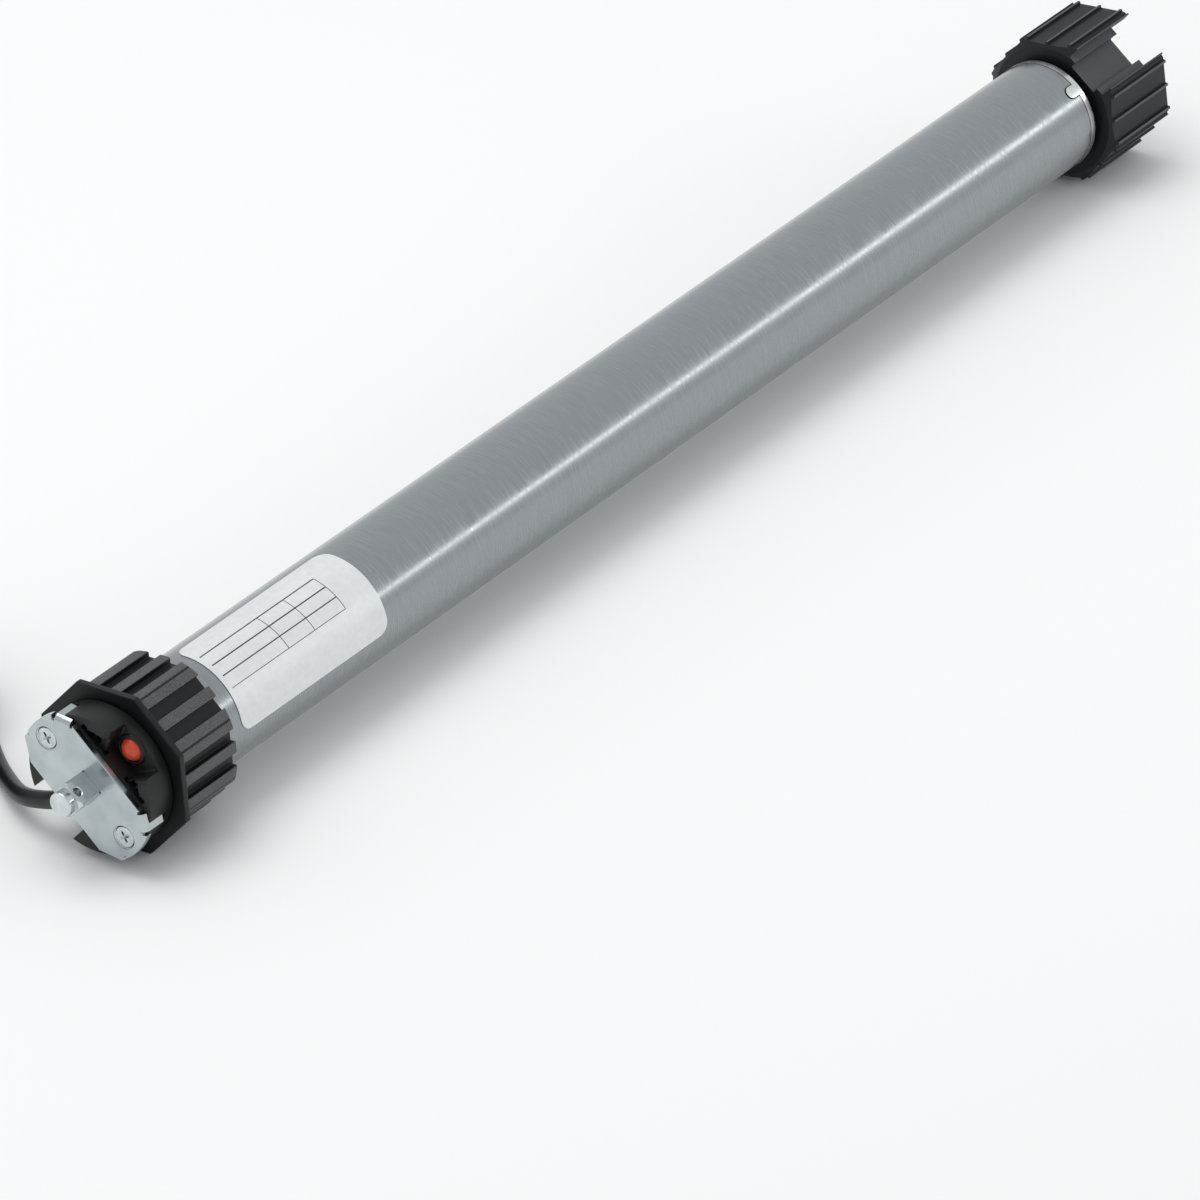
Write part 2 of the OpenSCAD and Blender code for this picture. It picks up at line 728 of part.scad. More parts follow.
module limit_pinion() {
    color("#dcd6c4") turn(pinion_turn) translate([0, pinion_at, 0]) {
        bar(ring_x + ring_bearing + 0.3, ring_len - ring_bearing - 0.6)
            rotate(180 / pinion_teeth) gear(pinion_teeth);
        disc(ring_x - 2.5, limit_main + 6 - ring_x, pinion_shaft_r);
        disc(limit_main + case_wall + 0.5, 2, encoder_r);
    }
}

// Electrics inside the tube
module limit_case() {
    color("#3a3b3d") difference() {
        union() {
            disc(limit_x, limit_step + 1, limit_boss_r);
            disc(limit_main, limit_len - limit_step, limit_r);
        }
        disc(limit_main + case_wall, limit_len, limit_r - case_wall);
        disc(limit_x - 1, limit_len, wire_r);
        turn(pinion_turn) translate([0, pinion_at, 0])
            disc(limit_x - 1, limit_len, pinion_shaft_r + slip);
    }
}
module saddle(x) { bar(x, 3) difference() {
    intersection() {
        circle(tray_in + 0.2);
        rect([-30, -30], [30, -1]);
    }
    circle(capacitor_r + 2 * slip);
} }
module chassis_tray() {
    wall = 2;
    color("#55585a") {
        bar(tray_x, tray_end - tray_x) difference() {
            intersection() {
                circle(tray_r);
                rect([-30, -30], [30, 0]);
            }
            circle(tray_in);
        }
        for (x = [tray_x, tray_end - wall]) disc(x, wall, tray_r, wire_r);
        saddle(capacitor_x + 8);
        saddle(capacitor_x + capacitor_len - 11);
    }
}
module circuit_board() {
    color("#2f6b46") block([board_x, -board_w / 2, slip], [board_x + board_len, board_w / 2, board_t]);
}
module board_parts() {
    on = board_t + face_gap;
    u = board_len / 62;
    w = capacitor_d / 30;
    color("#26282a") translate([board_x, 0, on]) scale([u, w, w]) {
        block([4, -14, 0], [21, -1, 11]);
        block([4, 1, 0], [21, 14, 11]);
        block([25, -9, 0], [42, 9, 14]);
        block([48, -15, 0], [56, 15, 9]);
        for (y = [-13.5, 13.5]) translate([34, y, 0]) cylinder(h = 8, r = 3);
    }
}
module capacitor() {
    color("#d0d2d2") {
        turned([[capacitor_x, 0], [capacitor_x, capacitor_r - 1], [capacitor_x + 1, capacitor_r],
            [capacitor_x + capacitor_len - 1, capacitor_r],
            [capacitor_x + capacitor_len, capacitor_r - 1], [capacitor_x + capacitor_len, 0]]);
        for (y = [-4, 4]) block([capacitor_x - 6, y - 0.4, -3], [capacitor_x, y + 0.4, 3]);
    }
}

// Motor: stator pressed in the tube, rotor in two bearings
module stator_core() {
    color("#7d8184") difference() {
        disc(stack_x, stack_len, fit_r, stator_bore_r);
        for (i = [0:stator_slots - 1]) turn(i * 360 / stator_slots) {
            translate([0, slot_at, 0]) disc(stack_x - 1, stack_len + 2, slot_r);
            block([stack_x - 1, stator_bore_r - 1, -0.6], [stack_end + 1, slot_at, 0.6]);
        }
    }
}
module stator_winding() {
    color("#a8562c") {
        for (i = [0:stator_slots - 1]) turn(i * 360 / stator_slots) translate([0, slot_at, 0])
            disc(stack_x - 1, stack_len + 2, slot_r - 0.15);
        for (x = [stack_x - turns_len, stack_end + loose])
            disc(x, turns_len - loose, turns_out, turns_in);
    }
}
module end_bell(x, side) {
    // side 1 has its hub towards +X
    function at(d) = x + (side > 0 ? d : bell_len - d);
    color("#b9bcbe") turned([
        [at(0), shaft_r + 1], [at(0), fit_r], [at(bell_len), fit_r], [at(bell_len), fit_r - 2],
        [at(3), fit_r - 2], [at(3), bearing_r + 2.5], [at(4 + bearing_w), bearing_r + 2.5],
        [at(4 + bearing_w), bearing_r + slip], [at(4), bearing_r + slip], [at(4), shaft_r + 1]]);
}
module front_end_bell() { end_bell(motor_x, 1); }
module rear_end_bell() { end_bell(rear_bell_x, -1); }
module bearing(x) { color(steel) disc(x, bearing_w - face_gap, bearing_r, shaft_r + 0.03); }
module front_bearing() { bearing(motor_x + 4 + face_gap); }
module rear_bearing() { bearing(rear_bell_x + bell_len - 4 - bearing_w); }
module rotor_core() {
    color("#8a8d90") disc(stack_x + 2, stack_len - 4, rotor_r, shaft_r + slip);
}
module rotor_shaft() {
    color(steel) {
        disc(motor_x + 2.5, brake_plate_x + 6 - motor_x - 2.5, shaft_r);
        disc(brake_plate_x + 6, sun_1_x - brake_plate_x - 6, sun_r - dedendum);
        bar(sun_1_x, stage_1_w + side_gap) rotate(180 / sun_teeth) gear(sun_teeth);
    }
}

// Spring-applied brake: the magnet pulls the armature off the disc
module brake_magnet() {
    color("#5b5e60") {
        turned([[magnet_x, shaft_r + 1], [magnet_x, fit_r], [magnet_end, fit_r],
            [magnet_end, brake_spring_r + 0.5], [magnet_end - brake_spring_len, brake_spring_r + 0.5],
            [magnet_end - brake_spring_len, shaft_r + 1]]);
        for (a = [30, 150, 270]) turn(a) translate([0, guide_at, 0])
            disc(magnet_end - 1, brake_plate_x - face_gap - magnet_end + 1, guide_r);
    }
}
module brake_armature() {
    color(steel) difference() {
        disc(armature_x, armature_t, armature_r, shaft_r + 1);
        for (a = [30, 150, 270]) turn(a) translate([0, guide_at, 0])
            disc(armature_x - 1, armature_t + 2, guide_r + slip);
    }
}
module brake_spring() {
    x = magnet_end - brake_spring_len + face_gap;
    color("#9fa3a5") disc(x, armature_x - face_gap - x, brake_spring_r, brake_spring_r - 1.6);
}
module brake_disc() { color("#4a3f38") disc(disc_x, disc_t, disc_r, shaft_r + slip); }
module brake_plate() {
    color("#b9bcbe") disc(brake_plate_x, gear_x - face_gap - brake_plate_x, fit_r, shaft_r + 0.6);
}

// Planetary gearbox with three stages in one toothed housing
module ring_gear_housing() {
    color("#6d7174") difference() {
        disc(gear_x, housing_end - face_gap - gear_x, fit_r);
        bar(gear_x - 1, teeth_end + 1 - gear_x) ring_hollow();
        disc(teeth_end - 1, housing_end, ring_pitch_r);
    }
}
module planet(x, width, angle) {
    color("#c6b98f") turn(angle) translate([0, orbit_r, 0]) turn(-angle) bar(x, width)
        difference() {
            gear(planet_teeth);
            circle(pin_r + slip);
        }
}
module carrier(x, thick, pin_x) {
    disc(x, thick, carrier_r);
    for (a = planet_angles) turn(a) translate([0, orbit_r, 0]) disc(pin_x, x + 0.5 - pin_x, pin_r);
}
module sun(x, width) { bar(x, width) rotate(180 / sun_teeth) gear(sun_teeth); }
module carrier_1() {
    color(steel) {
        carrier(carrier_1_x, carrier_t, sun_1_x);
        sun(sun_2_x - 0.5, stage_2_w + 2 * side_gap + 0.5);
    }
}
module carrier_2() {
    color(steel) {
        carrier(carrier_2_x, carrier_t + 1, sun_2_x + face_gap * 2);
        sun(sun_3_x - 0.5, stage_3_w + 2 * side_gap + 0.5);
    }
}
module output_shaft() {
    color(steel) {
        carrier(carrier_3_x, carrier_3_t, sun_3_x + face_gap * 2);
        disc(carrier_3_x + carrier_3_t - 1, square_x - carrier_3_x - carrier_3_t + 1, output_r);
        bar(square_x - 1, hub_end - square_x + 1) square(drive_square, center = true);
        turned([[hub_end - 1, 0], [hub_end - 1, tip_r], [circlip_x - face_gap, tip_r],
            [circlip_x - face_gap, groove_r], [circlip_x + circlip_t + face_gap, groove_r],
            [circlip_x + circlip_t + face_gap, tip_r], [shaft_end - 0.8, tip_r],
            [shaft_end, tip_r - 0.8], [shaft_end, 0]]);
    }
}
module planet_1a() { planet(sun_1_x, stage_1_w, planet_angles[0]); }
module planet_1b() { planet(sun_1_x, stage_1_w, planet_angles[1]); }
module planet_1c() { planet(sun_1_x, stage_1_w, planet_angles[2]); }
module planet_2a() { planet(sun_2_x + side_gap, stage_2_w, planet_angles[0]); }
module planet_2b() { planet(sun_2_x + side_gap, stage_2_w, planet_angles[1]); }
module planet_2c() { planet(sun_2_x + side_gap, stage_2_w, planet_angles[2]); }
module planet_3a() { planet(sun_3_x + side_gap, stage_3_w, planet_angles[0]); }
module planet_3b() { planet(sun_3_x + side_gap, stage_3_w, planet_angles[1]); }
module planet_3c() { planet(sun_3_x + side_gap, stage_3_w, planet_angles[2]); }
module gearbox_collar() {
    color("#cfd2d3") difference() {
        union() {
            turned([[housing_end, bush_r + slip], [housing_end, fit_r], [tube_end, fit_r],
                [tube_end, tube_r], [collar_end - 0.4, tube_r], [collar_end, tube_r - 0.4],
                [collar_end, output_r + 1], [bush_end + face_gap, output_r + 1],
                [bush_end + face_gap, bush_r + slip]]);
            intersection() {
                end_notch(bore_r - 1, tube_r + 1, notch_w - 2 * slip, notch_len - slip,
                    tube_end + 0.4);
                disc(tube_end - 10, 10.4, tube_r);
            }
        }
    }
}
module output_bush() { color("#b08d45") disc(bush_x, bush_end - bush_x, bush_r, output_r + 0.04); }

// Drive wheel: octagonal, ribbed along its flats, with a slot for the shaft's seam
wheel_flat = wheel_af / 2;
module wheel_outline() {
    octagon(wheel_af);
    for (i = [0:7], k = [-1:1]) rotate(i * 45)
        rect([wheel_flat - 1, k * wheel_rib_step - wheel_rib_w / 2],
            [wheel_flat + wheel_rib_h, k * wheel_rib_step + wheel_rib_w / 2]);
}
module slot_cut(at, width) { rotate(135) rect([at, -width / 2], [40, width / 2]); }
module wheel_hollow(web) {
    difference() {
        octagon(wheel_af - 2 * wheel_wall);
        if (web) {
            circle(hub_r);
            for (i = [0:7]) rotate(i * 45 + 22.5) rect([0, -1.2], [40, 1.2]);
            rotate(135) rect([slot_floor_at - wheel_wall, -slot_w / 2 - wheel_wall],
                [40, slot_w / 2 + wheel_wall]);
        }
    }
}
module drive_wheel() {
    web_t = 6;
    edge = 1.6;
    corner = (wheel_flat + wheel_rib_h) / cos(22.5);
    color(black) turn(wheel_turn) difference() {
        union() {
            intersection() {
                bar(wheel_x, wheel_len) wheel_outline();
                turned([[wheel_x, 0], [wheel_x, wheel_flat - edge / 2],
                    [wheel_x + edge + 1, corner + 1], [wheel_end, corner + 1], [wheel_end, 0]]);
            }
            disc(wheel_x - wheel_gap + 0.7, wheel_gap, output_r + 5);
        }
        bar(wheel_x + web_t, hub_end - wheel_x - web_t + 0.01) wheel_hollow(true);
        bar(hub_end, wheel_open + 1) wheel_hollow(false);
        bar(wheel_x - 1, wheel_len + 2) slot_cut(slot_ledge_at, slot_w);
        bar(wheel_x - 1, wheel_len + 2) slot_cut(slot_floor_at, slot_floor_w);
        bar(hub_end + 2, wheel_open) slot_cut(slot_floor_at - 4, slot_w);
        turn(-wheel_turn) bar(wheel_x - 10, wheel_len + 10)
            square(drive_square + 2 * slip, center = true);
    }
}
module wheel_circlip() {
    color(steel) bar(circlip_x, circlip_t) difference() {
        circle(tip_r + 1.8);
        circle(groove_r + slip);
        rect([0, -2.4], [20, 2.4]);
    }
}

// The cable's free stretch and its coil
function unit(v) = v / norm(v);
function way(points, i) = unit(points[min(i + 1, len(points) - 1)] - points[max(i - 1, 0)]);
function ring_at(centre, dir, r, sides) =
    let (side = unit(cross(dir, [0, 0, 1])), up = cross(side, dir))
    [for (k = [0:sides - 1]) centre + r * (side * cos((k + 0.5) * 360 / sides)
        + up * sin((k + 0.5) * 360 / sides))];
module swept(points, first, last, r, sides) {
    n = len(points);
    dirs = [for (i = [0:n - 1]) i == 0 ? unit(first) : i == n - 1 ? unit(last) : way(points, i)];
    rings = [for (i = [0:n - 1]) each ring_at(points[i], dirs[i], r, sides)];
    walls = [for (i = [0:n - 2], k = [0:sides - 1])
        let (a = i * sides + k, b = i * sides + (k + 1) % sides)
        each [[a, b, b + sides], [a, b + sides, a + sides]]];
    caps = [for (k = [1:sides - 2])
        each [[0, k + 1, k], [(n - 1) * sides, (n - 1) * sides + k, (n - 1) * sides + k + 1]]];
    polyhedron(rings, concat(walls, caps));
}
function clamp(v) = min(max(v, 0), 1);
function coil_r(t) =
    let (u = t % (2 * loops_per_layer))
    coil_out_r - coil_step * (u < loops_per_layer ? u : 2 * loops_per_layer - u);
function coil_lift(t, layer = 1) = layer >= coil_layers ? 0
    : clamp((t - layer * loops_per_layer + 0.25) / 0.5) + coil_lift(t, layer + 1);
function coil_point(t) = [
    coil_centre[0] + coil_r(t) * cos(360 * t), coil_centre[1] + coil_r(t) * sin(360 * t),
    coil_z + coil_step * coil_lift(t)];
coil_turns = [for (i = [0:coil_loops * rings_per_loop]) coil_point(i / rings_per_loop)];
coil_first = coil_turns[0] - [0, cable_d, 0];
coil_last = coil_turns[len(coil_turns) - 1] + [0, cable_d, 0];
coil_line = concat([coil_first], coil_turns, [coil_last]);
coil_self_gap = min([for (i = [0:len(coil_line) - 1], j = [i + 12:len(coil_line) - 1])
    norm(coil_line[i] - coil_line[j])]) - cable_d;
echo(coil_self_gap = coil_self_gap);
run_len = [for (i = [1:len(route) - 1]) norm(route[i] - route[i - 1])];
coil_run = [for (i = [1:len(coil_line) - 1]) norm(coil_line[i] - coil_line[i - 1])];
echo(cable_length = run_len * [for (r = run_len) 1] + coil_run * [for (r = coil_run) 1]);

module cable_run() {
    color(black) swept(route, [0, cos(gland_turn), sin(gland_turn)], [0, 1, 0], cable_r, 10);
}
module cable_coil() {
    color(black) swept(coil_line, [0, 1, 0], [0, 1, 0], cable_r, 6);
}
module cable_cores() {
    for (i = [-1, 1], k = [-1, 1]) color(i < 0 ? (k < 0 ? "#2c5fa8" : "#6b4a32")
        : (k < 0 ? "#2a2a2c" : "#6f9b3c"))
        translate([coil_last[0] - core_arc_r, coil_last[1], coil_last[2] + k * (core_d / 2 + slip)])
            rotate_extrude(angle = core_arc, start = 0)
                translate([core_arc_r + i * (core_d / 2 + slip), 0]) circle(core_d / 2, $fn = 24);
}
module cable_tie() {
    low = coil_out_r - (loops_per_layer - 0.5) * coil_step - cable_r - tie_gap;
    high = coil_out_r - 0.5 * coil_step + cable_r + tie_gap;
    bottom = coil_z - cable_r - tie_gap;
    top = coil_z + (coil_layers - 1) * coil_step + cable_r + tie_gap;
    color("#1d1e20") translate([coil_centre[0], coil_centre[1], 0]) difference() {
        block([-high - tie_t, -tie_w / 2, bottom - tie_t], [-low + tie_t, tie_w / 2, top + tie_t]);
        block([-high, -tie_w, bottom], [-low, tie_w, top]);
    }
}

motor_tube();
rating_label();
head_body();
drilled_plate();  // bracket_plate
square_stub();
plate_screws();
tube_plug();
plug_pins();
cable_connector();
cable_grommet();
setting_switch();
limit_case();
chassis_tray();
circuit_board();
board_parts();
capacitor();
stator_core();
stator_winding();
front_end_bell();
rear_end_bell();
front_bearing();
rear_bearing();
brake_magnet();
brake_plate();
ring_gear_housing();
gearbox_collar();
output_bush();
setting_button();
button_spring();
crown_adapter();
limit_ring();
limit_pinion();
rotor_core();
rotor_shaft();
brake_disc();
brake_armature();
brake_spring();
carrier_1();
carrier_2();
output_shaft();
drive_wheel();
wheel_circlip();
planet_1a();
planet_1b();
planet_1c();
planet_2a();
planet_2b();
planet_2c();
planet_3a();
planet_3b();
planet_3c();
cable_run();
cable_coil();
cable_cores();
cable_tie();
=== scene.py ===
import math
import bmesh
import bpy
from mathutils import Matrix, Vector


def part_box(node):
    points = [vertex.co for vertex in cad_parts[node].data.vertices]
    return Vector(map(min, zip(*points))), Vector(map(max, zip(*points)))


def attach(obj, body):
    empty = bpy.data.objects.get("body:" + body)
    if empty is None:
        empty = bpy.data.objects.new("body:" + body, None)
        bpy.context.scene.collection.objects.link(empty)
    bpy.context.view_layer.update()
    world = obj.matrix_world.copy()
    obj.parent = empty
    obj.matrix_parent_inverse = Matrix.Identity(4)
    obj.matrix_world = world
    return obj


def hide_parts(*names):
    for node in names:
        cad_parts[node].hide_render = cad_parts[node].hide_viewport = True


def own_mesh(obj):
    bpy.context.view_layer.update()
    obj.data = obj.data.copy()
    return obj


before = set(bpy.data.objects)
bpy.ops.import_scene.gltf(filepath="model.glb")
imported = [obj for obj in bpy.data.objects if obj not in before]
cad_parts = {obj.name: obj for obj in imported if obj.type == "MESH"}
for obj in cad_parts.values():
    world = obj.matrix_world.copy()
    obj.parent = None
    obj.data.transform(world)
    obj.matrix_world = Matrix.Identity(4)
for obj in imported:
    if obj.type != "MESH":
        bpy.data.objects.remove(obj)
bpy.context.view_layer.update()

# The camera stands well back with a long lens, above and in front of the head, as the
# photograph was taken.
camera_place = Vector((-2.1531, -1.9525, 1.6605))
camera_right = Vector((0.5918, -0.8030, -0.0703)).normalized()
camera_back = Vector((-0.6838, -0.5463, 0.4837)).normalized()
camera_up = camera_back.cross(camera_right)
camera = bpy.data.objects.new("camera", bpy.data.cameras.new("camera"))
bpy.context.scene.collection.objects.link(camera)
camera.data.sensor_width = 36.0
camera.data.lens = 291.8
camera.data.clip_end = 30.0
camera.matrix_world = Matrix.Translation(camera_place) @ Matrix(
    (camera_right, camera_up, camera_back)).transposed().to_4x4()
bpy.context.scene.camera = camera
bpy.context.scene.view_settings.view_transform = "Standard"

# The supply cable is 6.6 mm of round flex in a matt black PVC sheath. It leaves the head,
# comes down to the ground and is put away in a coil of eight loops in four layers.
MM = 0.001
cable_d, coil_lift = 6.6, 1.3
ground = -30.8
cable_route = [
    (7.5, 12.63, -10.61), (7.5, 15.33, -11.93), (7.7, 19, -13.8), (8.5, 23.6, -15.9),
    (9.6, 30, -18.1), (11.4, 37, -20.3), (14.4, 43.5, -22.2), (18.2, 49.5, -23.8),
    (22.4, 55.3, -25.2), (26.8, 61.3, -26.3), (31.6, 67.7, -27.1), (37, 74.5, -27.5),
    (43, 81.5, -27.5), (50, 89.5, -27.5), (57, 97.5, -27.5), (64, 106.5, -27.5),
    (69.5, 114, -27.2), (73.2, 121, -26.4),
]
coil_centre = Vector((31, 133.9))
loops_per_layer, coil_layers = 2, 4
coil_step = cable_d + 0.7
coil_outer_r = 5.5 * cable_d + loops_per_layer * coil_step / 2
coil_ground = ground + coil_lift + cable_d / 2
points_per_loop = 24


def coil_point(turns):
    """A place on the coil: it winds in and out across a layer and climbs at each reversal."""
    across = turns % (2 * loops_per_layer)
    across = min(across, 2 * loops_per_layer - across)
    radius = coil_outer_r - coil_step * across
    climb = sum(min(max((turns - layer * loops_per_layer + 0.25) / 0.5, 0), 1)
                for layer in range(1, coil_layers))
    angle = 2 * math.pi * turns
    return (coil_centre.x + radius * math.cos(angle), coil_centre.y + radius * math.sin(angle),
            coil_ground + coil_step * climb)


coil = [coil_point(i / points_per_loop)
        for i in range(loops_per_layer * coil_layers * points_per_loop + 1)]
coil_start = (coil[0][0], coil[0][1] - cable_d, coil[0][2])
coil_end = (coil[-1][0], coil[-1][1] + cable_d, coil[-1][2])
cable_line = [Vector(p) * MM for p in cable_route + [coil_start] + coil + [coil_end]]
sheath_line = bpy.data.curves.new("cable_sheath_line", "CURVE")
sheath_line.dimensions = "3D"
sheath_line.bevel_depth = cable_d / 2 * MM
sheath_line.bevel_resolution = 6
sheath_line.resolution_u = 5
sheath_line.use_fill_caps = True
strand = sheath_line.splines.new("BEZIER")
strand.bezier_points.add(len(cable_line) - 1)
for knot, place in zip(strand.bezier_points, cable_line):
    knot.co = place
    knot.handle_left_type = knot.handle_right_type = "AUTO"
drawn_line = bpy.data.objects.new("cable_sheath_line", sheath_line)
bpy.context.scene.collection.objects.link(drawn_line)
bpy.context.view_layer.update()
sheath = bpy.data.meshes.new_from_object(
    drawn_line.evaluated_get(bpy.context.evaluated_depsgraph_get()))
bpy.data.objects.remove(drawn_line)
for polygon in sheath.polygons:
    polygon.use_smooth = True
sheath.set_sharp_from_angle(angle=math.radians(50))
cable = bpy.data.objects.new("supply_cable", sheath)
bpy.context.scene.collection.objects.link(cable)
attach(cable, "motor")
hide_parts("cable_run", "cable_coil")


def linear(hex_colour):
    """An sRGB hex colour as the linear colour that the shader takes."""
    parts = [int(hex_colour[i:i + 2], 16) / 255 for i in (1, 3, 5)]
    return [c / 12.92 if c <= 0.04045 else ((c + 0.055) / 1.055) ** 2.4 for c in parts] + [1.0]


def add_node(tree, kind, inputs=None, stops=None, **settings):
    """Adds a node. Inputs are values or other nodes' outputs; stops are a ramp's colours."""
    node = tree.nodes.new(kind)
    for key, value in settings.items():
        setattr(node, key, value)
    for socket, value in (inputs or {}).items():
        if isinstance(value, bpy.types.NodeSocket):
            tree.links.new(value, node.inputs[socket])
        else:
            node.inputs[socket].default_value = value
    for i, (position, colour) in enumerate(stops or []):
        ramp = node.color_ramp.elements
        stop = ramp[i] if i < len(ramp) else ramp.new(position)
        stop.position, stop.color = position, linear(colour)
    return node


def grained_finish(name, dark, light, grain, metallic, roughness, relief, stretch=(1, 1, 1),
                   cloud=14.0, cloudy=0.3, specular=0.5):
    """A two-tone finish: grain is its speckle's size, cloud its soft patches' and relief its
    depth, all in mm. cloudy is the share of the tone that the patches make."""
    made = bpy.data.materials.new(name)
    made.use_nodes = True
    tree = made.node_tree
    shader = tree.nodes["Principled BSDF"]
    shader.inputs["Metallic"].default_value = metallic
    shader.inputs["Specular IOR Level"].default_value = specular
    where = add_node(tree, "ShaderNodeTexCoord").outputs["Object"]
    laid = add_node(tree, "ShaderNodeMapping", {"Vector": where, "Scale": stretch})
    speckle = add_node(tree, "ShaderNodeTexNoise", {
        "Vector": laid.outputs["Vector"], "Scale": 1 / (grain * MM), "Detail": 3.0})
    patches = add_node(tree, "ShaderNodeTexNoise", {
        "Vector": where, "Scale": 1 / (cloud * MM), "Detail": 2.0})
    mixed = add_node(tree, "ShaderNodeMix", {
        "Factor": cloudy, "A": speckle.outputs["Fac"], "B": patches.outputs["Fac"]})
    tone = add_node(tree, "ShaderNodeValToRGB", {"Fac": mixed.outputs["Result"]},
                    stops=[(0.35, dark), (0.66, light)])
    tree.links.new(tone.outputs["Color"], shader.inputs["Base Color"])
    rough = add_node(tree, "ShaderNodeMapRange", {
        "Value": mixed.outputs["Result"], "From Min": 0.3, "From Max": 0.7,
        "To Min": roughness[0], "To Max": roughness[1]})
    tree.links.new(rough.outputs["Result"], shader.inputs["Roughness"])
    bump = add_node(tree, "ShaderNodeBump", {
        "Height": speckle.outputs["Fac"], "Strength": 1.0, "Distance": relief * MM})
    tree.links.new(bump.outputs["Normal"], shader.inputs["Normal"])
    return made


# Soft PVC has a low sheen, and the extruder leaves a faint unevenness in it.
pvc_sheath = grained_finish("soft_pvc_sheath", "#111113", "#19191c", 1.6, 0.0, (0.30, 0.42), 0.02,
                            specular=0.3)
sheath.materials.append(pvc_sheath)

# The cable's four cores show where the sheath is stripped, each in its own colour of glossy
# PVC, with a tinned ferrule crimped on its end. They fan out in one gentle bend.
core_r, core_spread, core_bend_r, core_bend = 0.75, 0.8, 30.0, 49
ferrule_r, ferrule_from, ferrule_to = 0.58, 47, 60
core_colours = {(-1, -1): "#2c5fa8", (-1, 1): "#6b4a32", (1, -1): "#2a2a2c", (1, 1): "#6f9b3c"}
ferrule_metal = grained_finish("tinned_copper", "#b4b6b8", "#d0d2d4", 0.4, 1.0, (0.2, 0.32),
                               0.005)


def finished(shape, name, body, slot, materials, *nodes, smooth=32):
    """Makes the piece of a mesh built in millimetres, and lets it stand for its CAD nodes."""
    bmesh.ops.scale(shape, vec=(MM, MM, MM), verts=shape.verts)
    mesh = bpy.data.meshes.new(name)
    shape.to_mesh(mesh)
    shape.free()
    for polygon in mesh.polygons:
        polygon.use_smooth = True
    mesh.set_sharp_from_angle(angle=math.radians(smooth))
    for one in materials:
        mesh.materials.append(one)
    piece = bpy.data.objects.new(name, mesh)
    bpy.context.scene.collection.objects.link(piece)
    even = piece.modifiers.new("even_flats", "WEIGHTED_NORMAL")
    even.keep_sharp = True
    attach(piece, body)
    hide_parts(*nodes)
    return piece


def bent_rod(shape, centre, bend_r, place, radius, start, end, finish):
    """Adds a round rod that bends about a vertical line through the centre, from start to end
    in degrees. Its faces take the finish's number."""
    first, start, end = len(shape.faces), math.radians(start), math.radians(end)
    ring = bmesh.ops.create_circle(shape, cap_ends=True, radius=radius, segments=16)["verts"]
    bmesh.ops.rotate(shape, verts=ring, matrix=Matrix.Rotation(math.pi / 2, 3, "X"))
    bmesh.ops.translate(shape, verts=ring, vec=(bend_r + place[0], 0, place[1]))
    bmesh.ops.rotate(shape, verts=ring, matrix=Matrix.Rotation(start, 3, "Z"))
    bmesh.ops.translate(shape, verts=ring, vec=centre)
    disc = list({f for v in ring for f in v.link_faces})
    bmesh.ops.spin(shape, geom=disc + ring + list({e for v in ring for e in v.link_edges}),
                   cent=centre, axis=(0, 0, 1), angle=end - start, steps=18)
    shape.faces.ensure_lookup_table()
    for face in shape.faces[first:]:
        face.material_index = finish


cores = bmesh.new()
core_centre = Vector(coil_end) - Vector((core_bend_r, 0, 0))
for number, (across, up) in enumerate(core_colours):
    side = (across * core_spread, up * core_spread)
    bent_rod(cores, core_centre, core_bend_r, side, core_r, 0, core_bend, number)
    bent_rod(cores, core_centre, core_bend_r, side, ferrule_r, ferrule_from, ferrule_to,
             len(core_colours))
bmesh.ops.recalc_face_normals(cores, faces=cores.faces)
core_skins = [grained_finish("core_insulation_" + name, colour, colour, 0.8, 0.0, (0.25, 0.32),
                             0.004)
              for name, colour in zip(("blue", "brown", "black", "green"), core_colours.values())]
core_ends = finished(cores, "stripped_cores", "motor", "core_insulation",
                     core_skins + [ferrule_metal], "cable_cores")

# A black nylon cable tie is pulled round the coil's eight cable runs. It is moulded flat,
# with fine teeth on its outside, and its square head locks the strap.
tie_low, tie_high = (Vector(v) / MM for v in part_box("cable_tie"))
tie_size, tie_middle = tie_high - tie_low, (tie_high + tie_low) / 2
tie_t, tie_corner_r = 1.0, 3.2
tie_head_size, tie_head_sunk, tie_head_up = (4.2, 5.0, 5.4), 1.4, 8
strap = bmesh.new()
bmesh.ops.create_cube(strap, size=1.0)
bmesh.ops.scale(strap, vec=tie_size, verts=strap.verts)
bmesh.ops.translate(strap, vec=tie_middle, verts=strap.verts)
strap.normal_update()
bmesh.ops.delete(strap, geom=[f for f in strap.faces if abs(f.normal.y) > 0.9],
                 context="FACES_ONLY")
bmesh.ops.bevel(strap, geom=[e for e in strap.edges if len(e.link_faces) == 2],
                offset=tie_corner_r, segments=6, affect="EDGES", profile=0.5, material=-1)
bmesh.ops.solidify(strap, geom=strap.faces[:], thickness=tie_t)
lock = bmesh.ops.create_cube(strap, size=1.0)["verts"]
bmesh.ops.scale(strap, vec=tie_head_size, verts=lock)
bmesh.ops.translate(strap, verts=lock, vec=(tie_high.x - tie_head_sunk, tie_middle.y,
                                            tie_middle.z + tie_head_up))
bmesh.ops.bevel(strap, geom=list({e for v in lock for e in v.link_edges}), offset=0.5,
                segments=2, affect="EDGES", profile=0.5, material=-1)
bmesh.ops.recalc_face_normals(strap, faces=strap.faces)
tie_nylon = grained_finish("tie_nylon", "#1b1c1e", "#242527", 0.5, 0.0, (0.38, 0.5), 0.01)
tie = finished(strap, "cable_tie_strap", "motor", "tie_nylon", [tie_nylon], "cable_tie")

